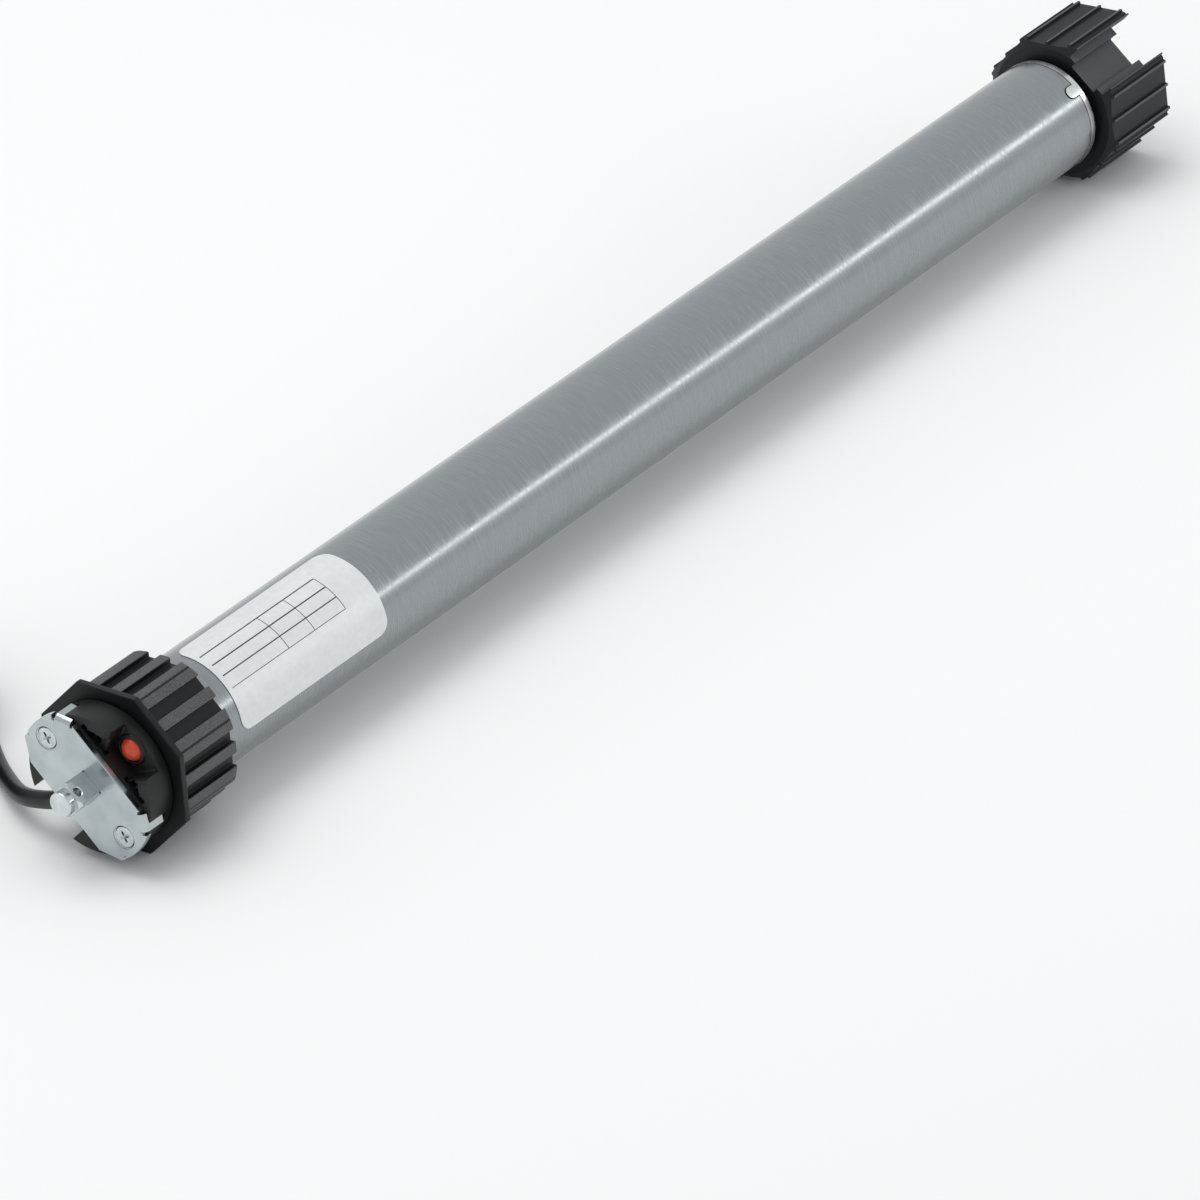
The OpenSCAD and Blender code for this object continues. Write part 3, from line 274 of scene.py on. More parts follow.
# The motor tube is welded from steel strip, 45 mm across, galvanised, belt polished and
# coated in satin silver. A round-ended notch at its far end takes the gearbox's lug.
tube_low, tube_high = (Vector(v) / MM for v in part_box("motor_tube"))
tube_r, tube_wall = 22.5, 1.2


def spun(profile, steps=128):
    """Turns a closed profile of (x, radius) points about the motor's axis."""
    shape = bmesh.new()
    corners = [shape.verts.new((x, radius, 0)) for x, radius in profile]
    edges = [shape.edges.new((a, b)) for a, b in zip(corners, corners[1:] + corners[:1])
             if a.co.y > 0 or b.co.y > 0]
    bmesh.ops.spin(shape, geom=corners + edges, cent=(0, 0, 0), axis=(1, 0, 0),
                   angle=2 * math.pi, steps=steps, use_merge=True)
    bmesh.ops.remove_doubles(shape, verts=shape.verts, dist=1e-4)
    bmesh.ops.recalc_face_normals(shape, faces=shape.faces)
    return shape


def combined(operation, first, *others, tidy=True):
    """Cuts the other shapes out of the first, or joins or keeps what they share. Tidying
    merges flat faces, for edges that are rounded afterwards."""
    made = []
    for shape in (first, *others):
        mesh = bpy.data.meshes.new("part_of_a_cut")
        shape.to_mesh(mesh)
        shape.free()
        made.append(bpy.data.objects.new("part_of_a_cut", mesh))
        bpy.context.scene.collection.objects.link(made[-1])
    for other in made[1:]:
        cut = made[0].modifiers.new("cut", "BOOLEAN")
        cut.operation, cut.solver, cut.object = operation, "EXACT", other
    bpy.context.view_layer.update()
    result = bmesh.new()
    result.from_mesh(made[0].evaluated_get(bpy.context.evaluated_depsgraph_get()).to_mesh())
    for one in made:
        bpy.data.meshes.remove(one.data)
    bmesh.ops.remove_doubles(result, verts=result.verts, dist=2e-3)
    if tidy:
        bmesh.ops.dissolve_limit(result, angle_limit=math.radians(0.3), verts=result.verts,
                                 edges=result.edges)
    return result


def turned_about_axis(shape, degrees):
    """Turns a shape about the motor's axis, from +Y towards +Z."""
    bmesh.ops.rotate(shape, verts=shape.verts, matrix=Matrix.Rotation(math.radians(degrees), 3, "X"))
    return shape


def softened(shape, width, sharper_than=30, segments=2, only=None):
    """Rounds the edges of a shape that are sharper than an angle."""
    shape.normal_update()
    edges = [e for e in shape.edges if len(e.link_faces) == 2
             and e.calc_face_angle(0) > math.radians(sharper_than) and (only is None or only(e))]
    bmesh.ops.bevel(shape, geom=edges, offset=width, segments=segments, affect="EDGES",
                    profile=0.5, material=-1, clamp_overlap=True)
    return shape


def notch_shape(width, length, inner, outer):
    """A round-ended tongue that lies along the tube's end, between two radii."""
    shape = bmesh.new()
    bar = bmesh.ops.create_cube(shape, size=1.0)["verts"]
    reach = length - width / 2 + 2
    middle = (outer + inner) / 2
    bmesh.ops.scale(shape, vec=(reach, outer - inner, width), verts=bar)
    bmesh.ops.translate(shape, vec=(tube_high.x + 2 - reach / 2, middle, 0), verts=bar)
    end = bmesh.new()
    bmesh.ops.create_cone(end, cap_ends=True, segments=48, radius1=width / 2, radius2=width / 2,
                          depth=outer - inner)
    turned_about_axis(end, 90)
    bmesh.ops.translate(end, vec=(tube_high.x - length + width / 2, middle, 0), verts=end.verts)
    return combined("UNION", shape, end)


notch_angle, notch_w, notch_len, end_gap = 136, 5.5, 6.4, 0.35
tube_shape = combined(
    "DIFFERENCE",
    spun([(tube_low.x, tube_r), (tube_high.x - end_gap, tube_r),
          (tube_high.x - end_gap, tube_r - tube_wall), (tube_low.x, tube_r - tube_wall)], steps=180),
    turned_about_axis(notch_shape(notch_w, notch_len, tube_r - 4, tube_r + 4), notch_angle))
softened(tube_shape, 0.18, sharper_than=50)
# Polishing leaves fine rings round the tube, some duller than others, which break the
# highlight up. They are drawn two or three times as coarse as they are, so that they show.
satin_silver = grained_finish("satin_silver_coat", "#91979a", "#9a9fa1", 0.5, 0.7, (0.12, 0.34),
                              0.002, stretch=(1, 0.05, 0.05), cloudy=0.1)
finished(tube_shape, "motor_tube_shell", "motor", "tube_steel", [satin_silver], "motor_tube")

# The rating label is a silver-white polyester film wrapped half round the tube. It is left
# plain but for the ruled lines of its table, printed in fine black.
label_low, label_high = (Vector(v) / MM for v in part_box("rating_label"))
label_angle, label_half = 130, 54
label_corner, label_height, label_gap, label_facets = 5.0, 0.14, 0.15, 80
label_arc = math.radians(label_half) * tube_r
film = bmesh.new()
sheet = bmesh.ops.create_grid(film, x_segments=1, y_segments=1, size=0.5)["verts"]
bmesh.ops.scale(film, vec=(label_high.x - label_low.x, 2 * label_arc, 1), verts=sheet)
bmesh.ops.bevel(film, geom=film.verts[:], offset=label_corner, segments=8, affect="VERTICES",
                profile=0.5, material=-1)
for facet in range(1, label_facets):
    at = label_arc * (2 * facet / label_facets - 1)
    bmesh.ops.bisect_plane(film, geom=film.verts[:] + film.edges[:] + film.faces[:], dist=1e-5,
                           plane_co=(0, at, 0), plane_no=(0, 1, 0))
bmesh.ops.solidify(film, geom=film.faces[:], thickness=label_height)
lift = max(v.co.z for v in film.verts)
for corner in film.verts:
    bend = corner.co.y / tube_r + math.radians(label_angle)
    radius = tube_r + label_gap + (corner.co.z - lift) + label_height
    corner.co = (corner.co.x + (label_low.x + label_high.x) / 2,
                 radius * math.cos(bend), radius * math.sin(bend))
bmesh.ops.recalc_face_normals(film, faces=film.faces)
polyester = grained_finish("silver_polyester_film", "#dddfe0", "#e6e8e8", 2.5, 0.2, (0.38, 0.45),
                           0.002)
tree = polyester.node_tree
on_film = add_node(tree, "ShaderNodeSeparateXYZ", {
    0: add_node(tree, "ShaderNodeTexCoord").outputs["Object"]})
film_angle = add_node(tree, "ShaderNodeMath", {0: on_film.outputs["Z"], 1: on_film.outputs["Y"]},
                      operation="ARCTAN2")
round_tube = add_node(tree, "ShaderNodeMath", {0: film_angle.outputs[0], 1: tube_r * MM},
                      operation="MULTIPLY")
rule_angles, rule_widths = (101.1, 115.2, 128.5, 141.9), (0.26, 0.26, 0.22, 0.13)
rule_from, rule_to = 61.2, 125.5
columns, column_width = (93.2, 108.0, rule_to), 0.17
ruled = None
lines = [(on_film.outputs["X"], round_tube.outputs[0], (rule_from + rule_to) / 2,
          (rule_to - rule_from) / 2, math.radians(angle) * tube_r, width)
         for angle, width in zip(rule_angles, rule_widths)]
table_low, table_high = (math.radians(rule_angles[i]) * tube_r for i in (0, -1))
lines += [(round_tube.outputs[0], on_film.outputs["X"], (table_low + table_high) / 2,
           (table_high - table_low) / 2, column, column_width) for column in columns]
for along, across, middle, half, at, width in lines:
    band = add_node(tree, "ShaderNodeMath", {0: across, 1: at * MM, 2: width * MM},
                    operation="COMPARE")
    reach = add_node(tree, "ShaderNodeMath", {0: along, 1: middle * MM, 2: half * MM},
                     operation="COMPARE")
    line = add_node(tree, "ShaderNodeMath", {0: band.outputs[0], 1: reach.outputs[0]},
                    operation="MULTIPLY")
    if ruled is not None:
        line = add_node(tree, "ShaderNodeMath", {0: ruled, 1: line.outputs[0]}, operation="MAXIMUM")
    ruled = line.outputs[0]
shader = tree.nodes["Principled BSDF"]
film_tone = shader.inputs["Base Color"].links[0].from_socket
printed = add_node(tree, "ShaderNodeMix", {"Factor": ruled, 6: film_tone, 7: linear("#2a2c2e")},
                   data_type="RGBA")
tree.links.new(printed.outputs[2], shader.inputs["Base Color"])
finished(film, "label_film", "motor", "label_film", [polyester], "rating_label")

# The head is moulded in black glass-filled nylon and fixed to the tube. It has a saddle for
# the setting button between two rounded shoulders, a stepped face with ribbed pockets along
# the plate's edge, and a gap for the cable.
saddle_floor, saddle_sides, head_step_r = 10.0, (72.0, 116.0), 22.3
rim_face, rim_round, step_face, step_round = 2.6, 2.4, 4.5, 1.1
foot_r, head_edge_r, button_at, head_turn = 1.2, 0.45, 20.5, 45


def copy_of(node_name):
    """The mesh of a CAD node, merged, in millimetres."""
    shape = bmesh.new()
    shape.from_mesh(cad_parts[node_name].data)
    bmesh.ops.scale(shape, vec=(1 / MM, 1 / MM, 1 / MM), verts=shape.verts)
    bmesh.ops.remove_doubles(shape, verts=shape.verts, dist=1e-3)
    bmesh.ops.dissolve_limit(shape, angle_limit=math.radians(0.5), verts=shape.verts,
                             edges=shape.edges)
    return shape


def slab(corners, push):
    """A flat outline, pushed out into a solid."""
    shape = bmesh.new()
    face = shape.faces.new([shape.verts.new(corner) for corner in corners])
    grown = bmesh.ops.extrude_face_region(shape, geom=[face])["geom"]
    bmesh.ops.translate(shape, vec=push,
                        verts=[v for v in grown if isinstance(v, bmesh.types.BMVert)])
    bmesh.ops.recalc_face_normals(shape, faces=shape.faces)
    return shape


def arc(centre, radius, start, end, steps):
    """Points on an arc from one angle to another, in degrees."""
    return [(centre[0] + radius * math.cos(a), centre[1] + radius * math.sin(a))
            for a in (math.radians(start + (end - start) * i / steps) for i in range(steps + 1))]


def along_wall(section, low, high, outwards, angle):
    """A bar along one saddle wall, between two radii. Its section's points are (x, distance
    into the wall), and outwards tells on which side of the wall the material lies."""
    wall_bar = slab([(x, low, outwards * deep) for x, deep in section], (0, high - low, 0))
    return turned_about_axis(wall_bar, angle + head_turn)


def laid_in(shape, other):
    """Adds another shape's mesh to a shape as a shell of its own."""
    carrier = bpy.data.meshes.new("added_shell")
    other.to_mesh(carrier)
    other.free()
    shape.from_mesh(carrier)
    bpy.data.meshes.remove(carrier)


def rounding_cut(face_x, radius):
    """The section that takes a wall's sharp top edge away and leaves a round one."""
    return ([(face_x - 1, -1), (face_x - 1, radius + 0.01)]
            + arc((face_x + radius, radius + 0.01), radius, 180, 270, 10)
            + [(face_x + radius, -1)])


foot = ([(saddle_floor + 0.4, 0.4), (saddle_floor + 0.4, -foot_r)]
        + arc((saddle_floor - foot_r, -foot_r), foot_r, 0, 90, 6) + [(saddle_floor - foot_r, 0.4)])
head_shape = copy_of("head_body")
for angle, outwards in zip(saddle_sides, (-1, 1)):
    head_shape = combined("UNION", head_shape, along_wall(foot, 12, 25.9, outwards, angle),
                          tidy=False)
    head_shape = combined(
        "DIFFERENCE", head_shape,
        along_wall(rounding_cut(rim_face, rim_round), head_step_r - 0.02, 32, outwards, angle),
        along_wall(rounding_cut(step_face, step_round), 6, head_step_r + 0.02, outwards, angle),
        tidy=False)
softened(head_shape, head_edge_r, sharper_than=42)
boss = spun([(saddle_floor + 0.5, 4.56), (saddle_floor - 0.85, 4.56), (saddle_floor - 1.0, 4.8),
             (saddle_floor - 1.0, 5.1), (saddle_floor - 0.7, 5.6), (saddle_floor - 0.2, 6.0),
             (saddle_floor + 0.5, 6.2)], steps=72)
bmesh.ops.translate(boss, vec=(0, 0, button_at), verts=boss.verts)
laid_in(head_shape, turned_about_axis(boss, head_turn))
black_nylon = grained_finish("moulded_black_nylon", "#0d0d0e", "#161617", 0.4, 0.0, (0.36, 0.48),
                             0.012, specular=0.35)
finished(head_shape, "head_moulding", "motor", "head_plastic", [black_nylon], "head_body")

# The bracket plate is pressed from 2.5 mm steel and plated in bright zinc. Two tabs are bent
# back over the head's rim, each between two relief notches, and the edges are tumbled.
plate_r, plate_half, plate_t = 28.5, 14.5, 2.5
tab_root, tab_lean, tab_w, tab_t, tab_end = Vector((20.44, 14.9)), 51.3, 7.0, 1.6, 9.75
bend_r, relief_w, relief_depth, root_inset = 2.6, 1.0, 2.4, 0.03
screw_at, sink_r, screw_hole_r, square_hole_half = 21.7, 4.6, 2.05, 5.05
along_angle = math.radians(tab_lean - 90)
tab_along = Vector((math.cos(along_angle), math.sin(along_angle)))
tab_out = Vector((-tab_along.y, tab_along.x))


def prism(outline, low, high):
    """A prism along the motor's axis, from its outline across and along the head's face."""
    return slab([(low, *point) for point in outline], (high - low, 0, 0))


def square_of(half):
    """The corners of a square that stands on the motor's axis."""
    return [(-half, -half), (half, -half), (half, half), (-half, half)]


def at_tab(along, out):
    """A point by its distances along a tab's root and out from the tab's outer face."""
    return tuple(tab_root + along * tab_along + out * tab_out)


def tab_strip():
    """One bent tab: its section across the bend, pushed along its root. The root lies a hair
    inside the plate's faces and notches, so that no two faces meet in one plane."""
    section = ([(root_inset, -bend_r - 1.5)]
               + [(max(x, root_inset), out) for x, out in arc((bend_r, -bend_r), bend_r, 176, 90, 8)]
               + [(tab_end, 0), (tab_end, -tab_t)]
               + arc((plate_t - root_inset + 1, -tab_t - 1), 1, 90, 180, 4)
               + [(plate_t - root_inset, -bend_r - 1.5)])
    return slab([(x, *at_tab(root_inset, out)) for x, out in section],
                (0, *((tab_w - 2 * root_inset) * tab_along)))


def mirrored(shape):
    """Mirrors a shape to the plate's other end."""
    bmesh.ops.scale(shape, vec=(1, -1, 1), verts=shape.verts)
    bmesh.ops.reverse_faces(shape, faces=shape.faces)
    return shape


def cone_cut(side):
    """A countersunk hole's shape: a cone at the front and a round hole behind it."""
    shape = spun([(-1, 0), (-1, sink_r), (0.2, sink_r), (sink_r - screw_hole_r + 0.2, screw_hole_r),
                  (plate_t + 1, screw_hole_r), (plate_t + 1, 0)], steps=64)
    bmesh.ops.translate(shape, vec=(0, side * screw_at, 0), verts=shape.verts)
    return shape


half_outline = [(18.8, plate_half), at_tab(-relief_w, -relief_depth), at_tab(0, -relief_depth),
                at_tab(0, -relief_depth - 0.4), at_tab(tab_w, -relief_depth - 0.4),
                at_tab(tab_w, -relief_depth), at_tab(tab_w + relief_w, -relief_depth)]
half_outline += arc((0, 0), plate_r, 20.4, -11.2, 16) + arc((27.4, -6.2), 0.8, 75, 270, 5)
half_outline += arc((0, 0), plate_r, -14.4, -17.4, 2) + [(19.3, -plate_half)]
outline = half_outline + [(-across, along) for across, along in reversed(half_outline)]
plate_shape = softened(prism(outline, 0, plate_t), 0.3, sharper_than=50, segments=3)
tabs = [softened(tab, 0.28, sharper_than=50) for tab in (tab_strip(), mirrored(tab_strip()))]
plate_shape = combined("UNION", plate_shape, *tabs, tidy=False)
plate_shape = combined("DIFFERENCE", plate_shape, prism(square_of(square_hole_half), -1, plate_t + 1),
                       cone_cut(1), cone_cut(-1), tidy=False)
turned_about_axis(plate_shape, head_turn)
zinc_plate = grained_finish("bright_zinc_plate", "#afb8ba", "#c1cacc", 0.5, 1.0, (0.19, 0.25),
                            0.0012, cloud=9.0, cloudy=0.75)
finished(plate_shape, "bracket_plate_pressing", "motor", "zinc_plate", [zinc_plate], "bracket_plate")

# The square stub carries the motor. It is a 10 mm steel square turned down to a round tip,
# staked behind the plate, drilled for a split pin and bright zinc plated.
stub_half_w, stub_front, stub_corner_r, tip_r, tip_len = 5.0, -10.5, 6.6, 4.7, 3.3
pin_hole_r, pin_hole_x, flange_r, flange_t = 1.6, -7.7, 7.5, 0.7
square = prism(square_of(stub_half_w), stub_front, plate_t + 0.5)
turned_skin = spun([(stub_front, 0), (stub_front, stub_corner_r - 1.1),
                    (stub_front + 1.1, stub_corner_r), (plate_t + 1, stub_corner_r),
                    (plate_t + 1, 0)], steps=96)
shank = softened(combined("INTERSECT", square, turned_skin), 0.35, sharper_than=28, segments=3)
tip = spun([(stub_front - tip_len, 0), (stub_front - tip_len, tip_r - 0.6),
            (stub_front - tip_len + 0.18, tip_r - 0.2), (stub_front - tip_len + 0.6, tip_r),
            (stub_front + 1, tip_r), (stub_front + 1, 0)], steps=72)
flange = spun([(plate_t + 0.05, 0), (plate_t + 0.05, flange_r), (plate_t + flange_t, flange_r),
               (plate_t + flange_t, 0)], steps=72)
pin_hole = spun([(-8, 0), (-8, pin_hole_r + 3.3), (-stub_half_w + 0.3, pin_hole_r),
                 (stub_half_w - 0.3, pin_hole_r), (8, pin_hole_r + 3.3), (8, 0)], steps=40)
bmesh.ops.rotate(pin_hole, verts=pin_hole.verts, matrix=Matrix.Rotation(math.pi / 2, 3, "Y"))
bmesh.ops.translate(pin_hole, vec=(pin_hole_x, 0, 0), verts=pin_hole.verts)
stub_shape = combined("UNION", shank, tip, flange, tidy=False)
stub_shape = combined("DIFFERENCE", stub_shape, pin_hole, tidy=False)
turned_about_axis(stub_shape, head_turn)
zinc_forging = grained_finish("zinc_plated_forging", "#c0c7c8", "#dbe1e2", 0.45, 1.0,
                              (0.16, 0.24), 0.006, cloud=5.0, cloudy=0.5)
finished(stub_shape, "square_stub_forging", "motor", "zinc_plate", [zinc_forging], "square_stub")

# Two countersunk M4 screws hold the plate to the head. Each has a rolled rim and a punched
# cross recess that narrows towards its bottom, and sits a little below the plate's face.
screw_r, screw_face, screw_length = 3.9, 0.3, 12.0
recess_turn, wing_w, wing_reach, recess_deep = 20.0, 1.1, 2.9, 1.9


def recess_wings():
    """The cross recess: two crossed wedges and the round bottom between them. Their ends lie a
    little apart, so that no two faces meet in one plane."""
    shapes = []
    for quarter, apart in ((0, 0.0), (90, 0.03)):
        wing = bmesh.new()
        bmesh.ops.create_cube(wing, size=1.0)
        for corner in wing.verts:
            deep = corner.co.x > 0
            corner.co = (screw_face + recess_deep - apart if deep else -0.6 - apart,
                         corner.co.y * 2 * (0.9 if deep else wing_reach),
                         corner.co.z * (0.55 if deep else wing_w))
        shapes.append(turned_about_axis(wing, quarter))
    shapes.append(spun([(-0.7, 0), (-0.7, 1.05), (screw_face + recess_deep - 0.06, 0.6),
                        (screw_face + recess_deep + 0.4, 0)], steps=24))
    return combined("UNION", *shapes, tidy=False)


screws = bmesh.new()
for side in (-1, 1):
    blank = spun([(screw_face, 0), (screw_face, screw_r - 0.25), (screw_face + 0.12, screw_r),
                  (screw_face + 0.4, screw_r), (screw_face + screw_r - 1.6, 2.0),
                  (screw_length - 1.2, 2.0), (screw_length, 1.0), (screw_length, 0)], steps=56)
    driven = combined("DIFFERENCE", blank, turned_about_axis(recess_wings(), recess_turn),
                      tidy=False)
    softened(driven, 0.06, sharper_than=40)
    bmesh.ops.translate(driven, vec=(0, side * screw_at, 0), verts=driven.verts)
    laid_in(screws, driven)
turned_about_axis(screws, head_turn)
screw_zinc = grained_finish("screw_zinc_plate", "#b2b9bc", "#dde2e4", 0.6, 1.0, (0.14, 0.24), 0.006,
                            cloud=2.5, cloudy=0.4)
finished(screws, "countersunk_screws", "motor", "screw_steel", [screw_zinc], "plate_screws")

# The setting button is a low dome of glossy orange-red ABS on a short skirt. Its stem passes
# through the head to the switch, and it stands in the middle of the saddle.
dome_r, dome_h, skirt_t, stem_r = 4.45, 3.1, 1.2, 1.5
stem_end, stem_drop = saddle_floor + skirt_t + 6.3, 2.3
ball_r = (dome_r ** 2 + dome_h ** 2) / (2 * dome_h)
crest = saddle_floor - dome_h
profile = [(crest + ball_r * (1 - math.cos(a)), ball_r * math.sin(a)) for a in
           (math.asin(dome_r / ball_r) * i / 14 for i in range(15))]
button_shape = spun(profile + [(saddle_floor + skirt_t, dome_r), (saddle_floor + skirt_t, 0)],
                    steps=72)
softened(button_shape, 0.22, sharper_than=35, segments=3)
stem = spun([(saddle_floor + skirt_t - 0.3, 0), (saddle_floor + skirt_t - 0.3, stem_r),
             (stem_end - 0.3, stem_r), (stem_end, stem_r - 0.3), (stem_end, 0)], steps=32)
bmesh.ops.translate(stem, vec=(0, 0, -stem_drop), verts=stem.verts)
button_shape = combined("UNION", button_shape, stem, tidy=False)
bmesh.ops.translate(button_shape, vec=(0, 0, button_at), verts=button_shape.verts)
turned_about_axis(button_shape, head_turn)
signal_red = grained_finish("orange_red_abs", "#bf3d22", "#cb472a", 1.2, 0.0, (0.27, 0.34), 0.003)
finished(button_shape, "setting_button_cap", "button", "red_plastic", [signal_red], "setting_button")

# The motor has two springs, cold wound from bright music wire. A small one lies under the
# button's skirt, and a stout one pushes the brake's armature off its magnet.
music_wire = grained_finish("music_wire", "#83888c", "#a4a9ad", 0.5, 1.0, (0.2, 0.3), 0.004)


def wound_spring(node_name, wire_d, turns):
    """A spring in its CAD node's place."""
    low, high = (Vector(v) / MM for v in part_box(node_name))
    middle, length, steps = (low + high) / 2, high.x - low.x, int(32 * turns)
    shape = bmesh.new()
    ring = bmesh.ops.create_circle(shape, cap_ends=True, radius=wire_d / 2, segments=12)["verts"]
    bmesh.ops.translate(shape, verts=ring, vec=(low.x + wire_d / 2, high.y - wire_d / 2, middle.z))
    bmesh.ops.spin(shape, geom=shape.verts[:] + shape.edges[:] + shape.faces[:], cent=middle,
                   axis=(1, 0, 0), dvec=((length - wire_d) / steps, 0, 0),
                   angle=2 * math.pi * turns, steps=steps)
    bmesh.ops.recalc_face_normals(shape, faces=shape.faces)
    spring = finished(shape, node_name + "_wire", "motor", "spring_steel", [music_wire], node_name)
    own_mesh(spring)


wound_spring("button_spring", 0.5, 3.5)
wound_spring("brake_spring", 1.6, 3.0)

# The cable's flat plug and its rubber grommet fill the gap in the head's lower side. The plug
# is natural white nylon and its grommet is black, with a collar round the cable.
plug_shape = softened(copy_of("cable_connector"), 0.4, sharper_than=50)
natural_nylon = grained_finish("natural_white_nylon", "#dcdad0", "#e8e6dd", 0.7, 0.0, (0.4, 0.5),
                               0.008)
finished(plug_shape, "cable_plug", "motor", "white_plastic", [natural_nylon], "cable_connector")
grommet_shape = softened(copy_of("cable_grommet"), 0.9, sharper_than=50, segments=4)
grommet_rubber = grained_finish("black_grommet_rubber", "#17181a", "#202124", 0.5, 0.0,
                                (0.55, 0.68), 0.015)
finished(grommet_shape, "cable_grommet_block", "motor", "grommet_rubber", [grommet_rubber],
         "cable_grommet")

# The crown turns freely on the tube and passes the shaft's turns to the limit unit. It is
# moulded in black nylon: the tops of its ribs are spark eroded, the flange and valleys smooth.
crown_flange_end, sleeve_half, rib_top_play = 18.0, 28.3, 0.35


def out_to_flat(point):
    """How far a point lies from the axis, square to the nearest side of an octagon."""
    return max(point.y * math.cos(a) + point.z * math.sin(a)
               for a in (math.radians(45 * k) for k in range(8)))


crown_shape = softened(copy_of("crown_adapter"), 0.35, sharper_than=25)
for face in crown_shape.faces:
    middle = face.calc_center_median()
    if middle.x > crown_flange_end + 0.4 and out_to_flat(middle) > sleeve_half - rib_top_play:
        face.material_index = 1
smooth_nylon = grained_finish("smooth_black_nylon", "#0c0d0e", "#151617", 0.5, 0.0, (0.36, 0.48),
                              0.01, specular=0.3)
eroded_nylon = grained_finish("eroded_black_nylon", "#1a1b1d", "#66676a", 0.27, 0.0, (0.42, 0.62),
                              0.05, cloudy=0.08)
finished(crown_shape, "crown_moulding", "crown", "crown_plastic", [smooth_nylon, eroded_nylon],
         "crown_adapter")

# The gearbox's end collar closes the tube with a bright turned rim. Its round-ended lug
# stands in the tube's notch and keeps the gearbox from turning.
spigot_r = tube_r - 0.6
collar_shape = softened(copy_of("gearbox_collar"), 0.18, sharper_than=35)
# The spigot inside the rim and the faces behind the tube's end take the second finish, painted dark
# as a painted shadow in the thin gap round the rim and the lug.
for face in collar_shape.faces:
    middle = face.calc_center_median()
    if middle.yz.length < spigot_r or middle.x < tube_high.x - 0.1 and abs(face.normal.x) > 0.9:
        face.material_index = 1
turned_steel = grained_finish("turned_collar_steel", "#d8dbdb", "#ebedee", 0.4, 1.0, (0.26, 0.34),
                              0.0015, cloud=6.0, cloudy=0.6)
# This dark finish is painted shade for the gap, not the steel's own colour.
collar_gap_painted_shade_steel = grained_finish("collar_gap_painted_shade", "#1c1e1f", "#2b2d2f", 0.4, 0.8, (0.45, 0.6), 0.01)
finished(collar_shape, "collar_ring", "motor", "collar_steel", [turned_steel, collar_gap_painted_shade_steel],
         "gearbox_collar")

# The drive wheel is moulded in black nylon. Three fine ribs on each flat bite into the shaft,
# a stepped slot clears its seam, and webs join the rim to the hub on the output shaft.
wheel_low, wheel_high = (Vector(v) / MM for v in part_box("drive_wheel"))
wheel_len, wheel_af, wheel_turn, wheel_wall, web_t = 38.0, 55.3, -3.0, 3.0, 6.0
rib_h, rib_half, rib_step, slot_flat, web_half = 1.0, 0.6, 9.8, 3, 1.2
ledge_at, ledge_half, floor_at, floor_half = 25.3, 9.7, 22.8, 6.5
wheel_hub_r, wheel_boss_r, bore_half, open_end, far_out = 11.6, 15.0, 6.05, 11.0, 40
wheel_x, cavity_flat = wheel_high.x - wheel_len, wheel_af / 2 - wheel_wall


def octagon(flat):
    """The corners of an octagon, from the distance between its middle and its flats."""
    corner = flat / math.cos(math.pi / 8)
    return [(corner * math.cos(a), corner * math.sin(a))
            for a in (math.radians(22.5 + 45 * k) for k in range(8))]


def flat_of_wheel(number):
    """One flat's outline as (distance out, distance along): its ribs, or the seam slot."""
    flat, half = wheel_af / 2, wheel_af / 2 * math.tan(math.pi / 8)
    if number == slot_flat:
        side = [(flat, half), (flat, rib_step + rib_half), (flat + rib_h, rib_step + rib_half),
                (flat + rib_h, ledge_half), (ledge_at, ledge_half), (ledge_at, floor_half),
                (floor_at, floor_half)]
        return [(out, -along) for out, along in side] + side[::-1]
    points = [(flat, -half)]
    for rib in (-rib_step, 0, rib_step):
        points += [(flat, rib - rib_half), (flat + rib_h, rib - rib_half),
                   (flat + rib_h, rib + rib_half), (flat, rib + rib_half)]
    return points


def wheel_outline():
    """The outline of the wheel's rim, flat by flat."""
    points = []
    for number in range(8):
        a = math.radians(45 * number)
        points += [(out * math.cos(a) - along * math.sin(a), out * math.sin(a) + along * math.cos(a))
                   for out, along in flat_of_wheel(number)]
    return [p for k, p in enumerate(points) if math.dist(p, points[k - 1]) > 0.01]


def block_at(at, half, low, high, angle):
    """A block that reaches outwards from a distance off the axis, turned to an angle."""
    return turned_about_axis(
        prism([(at, -half), (far_out, -half), (far_out, half), (at, half)], low, high), angle)


hub_end = wheel_high.x - open_end
chamfer = spun([(wheel_x - 0.01, 0), (wheel_x - 0.01, wheel_af / 2 - 1.2),
                (wheel_x + 0.7, wheel_af / 2 - 0.1), (wheel_x + 3.2, 31.6),
                (wheel_high.x + 1, 33), (wheel_high.x + 1, 0)], steps=144)
rim = softened(prism(wheel_outline(), wheel_x, wheel_high.x), 0.22, sharper_than=25,
               only=lambda edge: abs(edge.verts[0].co.x - edge.verts[1].co.x) > 1)
rim = combined("INTERSECT", rim, chamfer)
cavity = prism(octagon(cavity_flat), wheel_x + web_t, hub_end + 0.5)
webs = [spun([(wheel_x, 0), (wheel_x, wheel_hub_r), (hub_end + 1, wheel_hub_r), (hub_end + 1, 0)],
             steps=64)]
webs += [block_at(0, web_half, wheel_x, hub_end + 1, 45 * k + 22.5) for k in range(8)]
webs += [block_at(floor_at - wheel_wall, ledge_half + wheel_wall, wheel_x, hub_end + 1,
                  45 * slot_flat)]
cavity = combined("DIFFERENCE", cavity, *webs)
bore = turned_about_axis(prism(square_of(bore_half), wheel_x - 9, wheel_high.x + 1), -wheel_turn)
front_boss = spun([(wheel_low.x, 0), (wheel_low.x, wheel_boss_r), (wheel_x + 1, wheel_boss_r),
                   (wheel_x + 1, 0)], steps=96)
wheel_shape = combined("UNION", rim, front_boss)
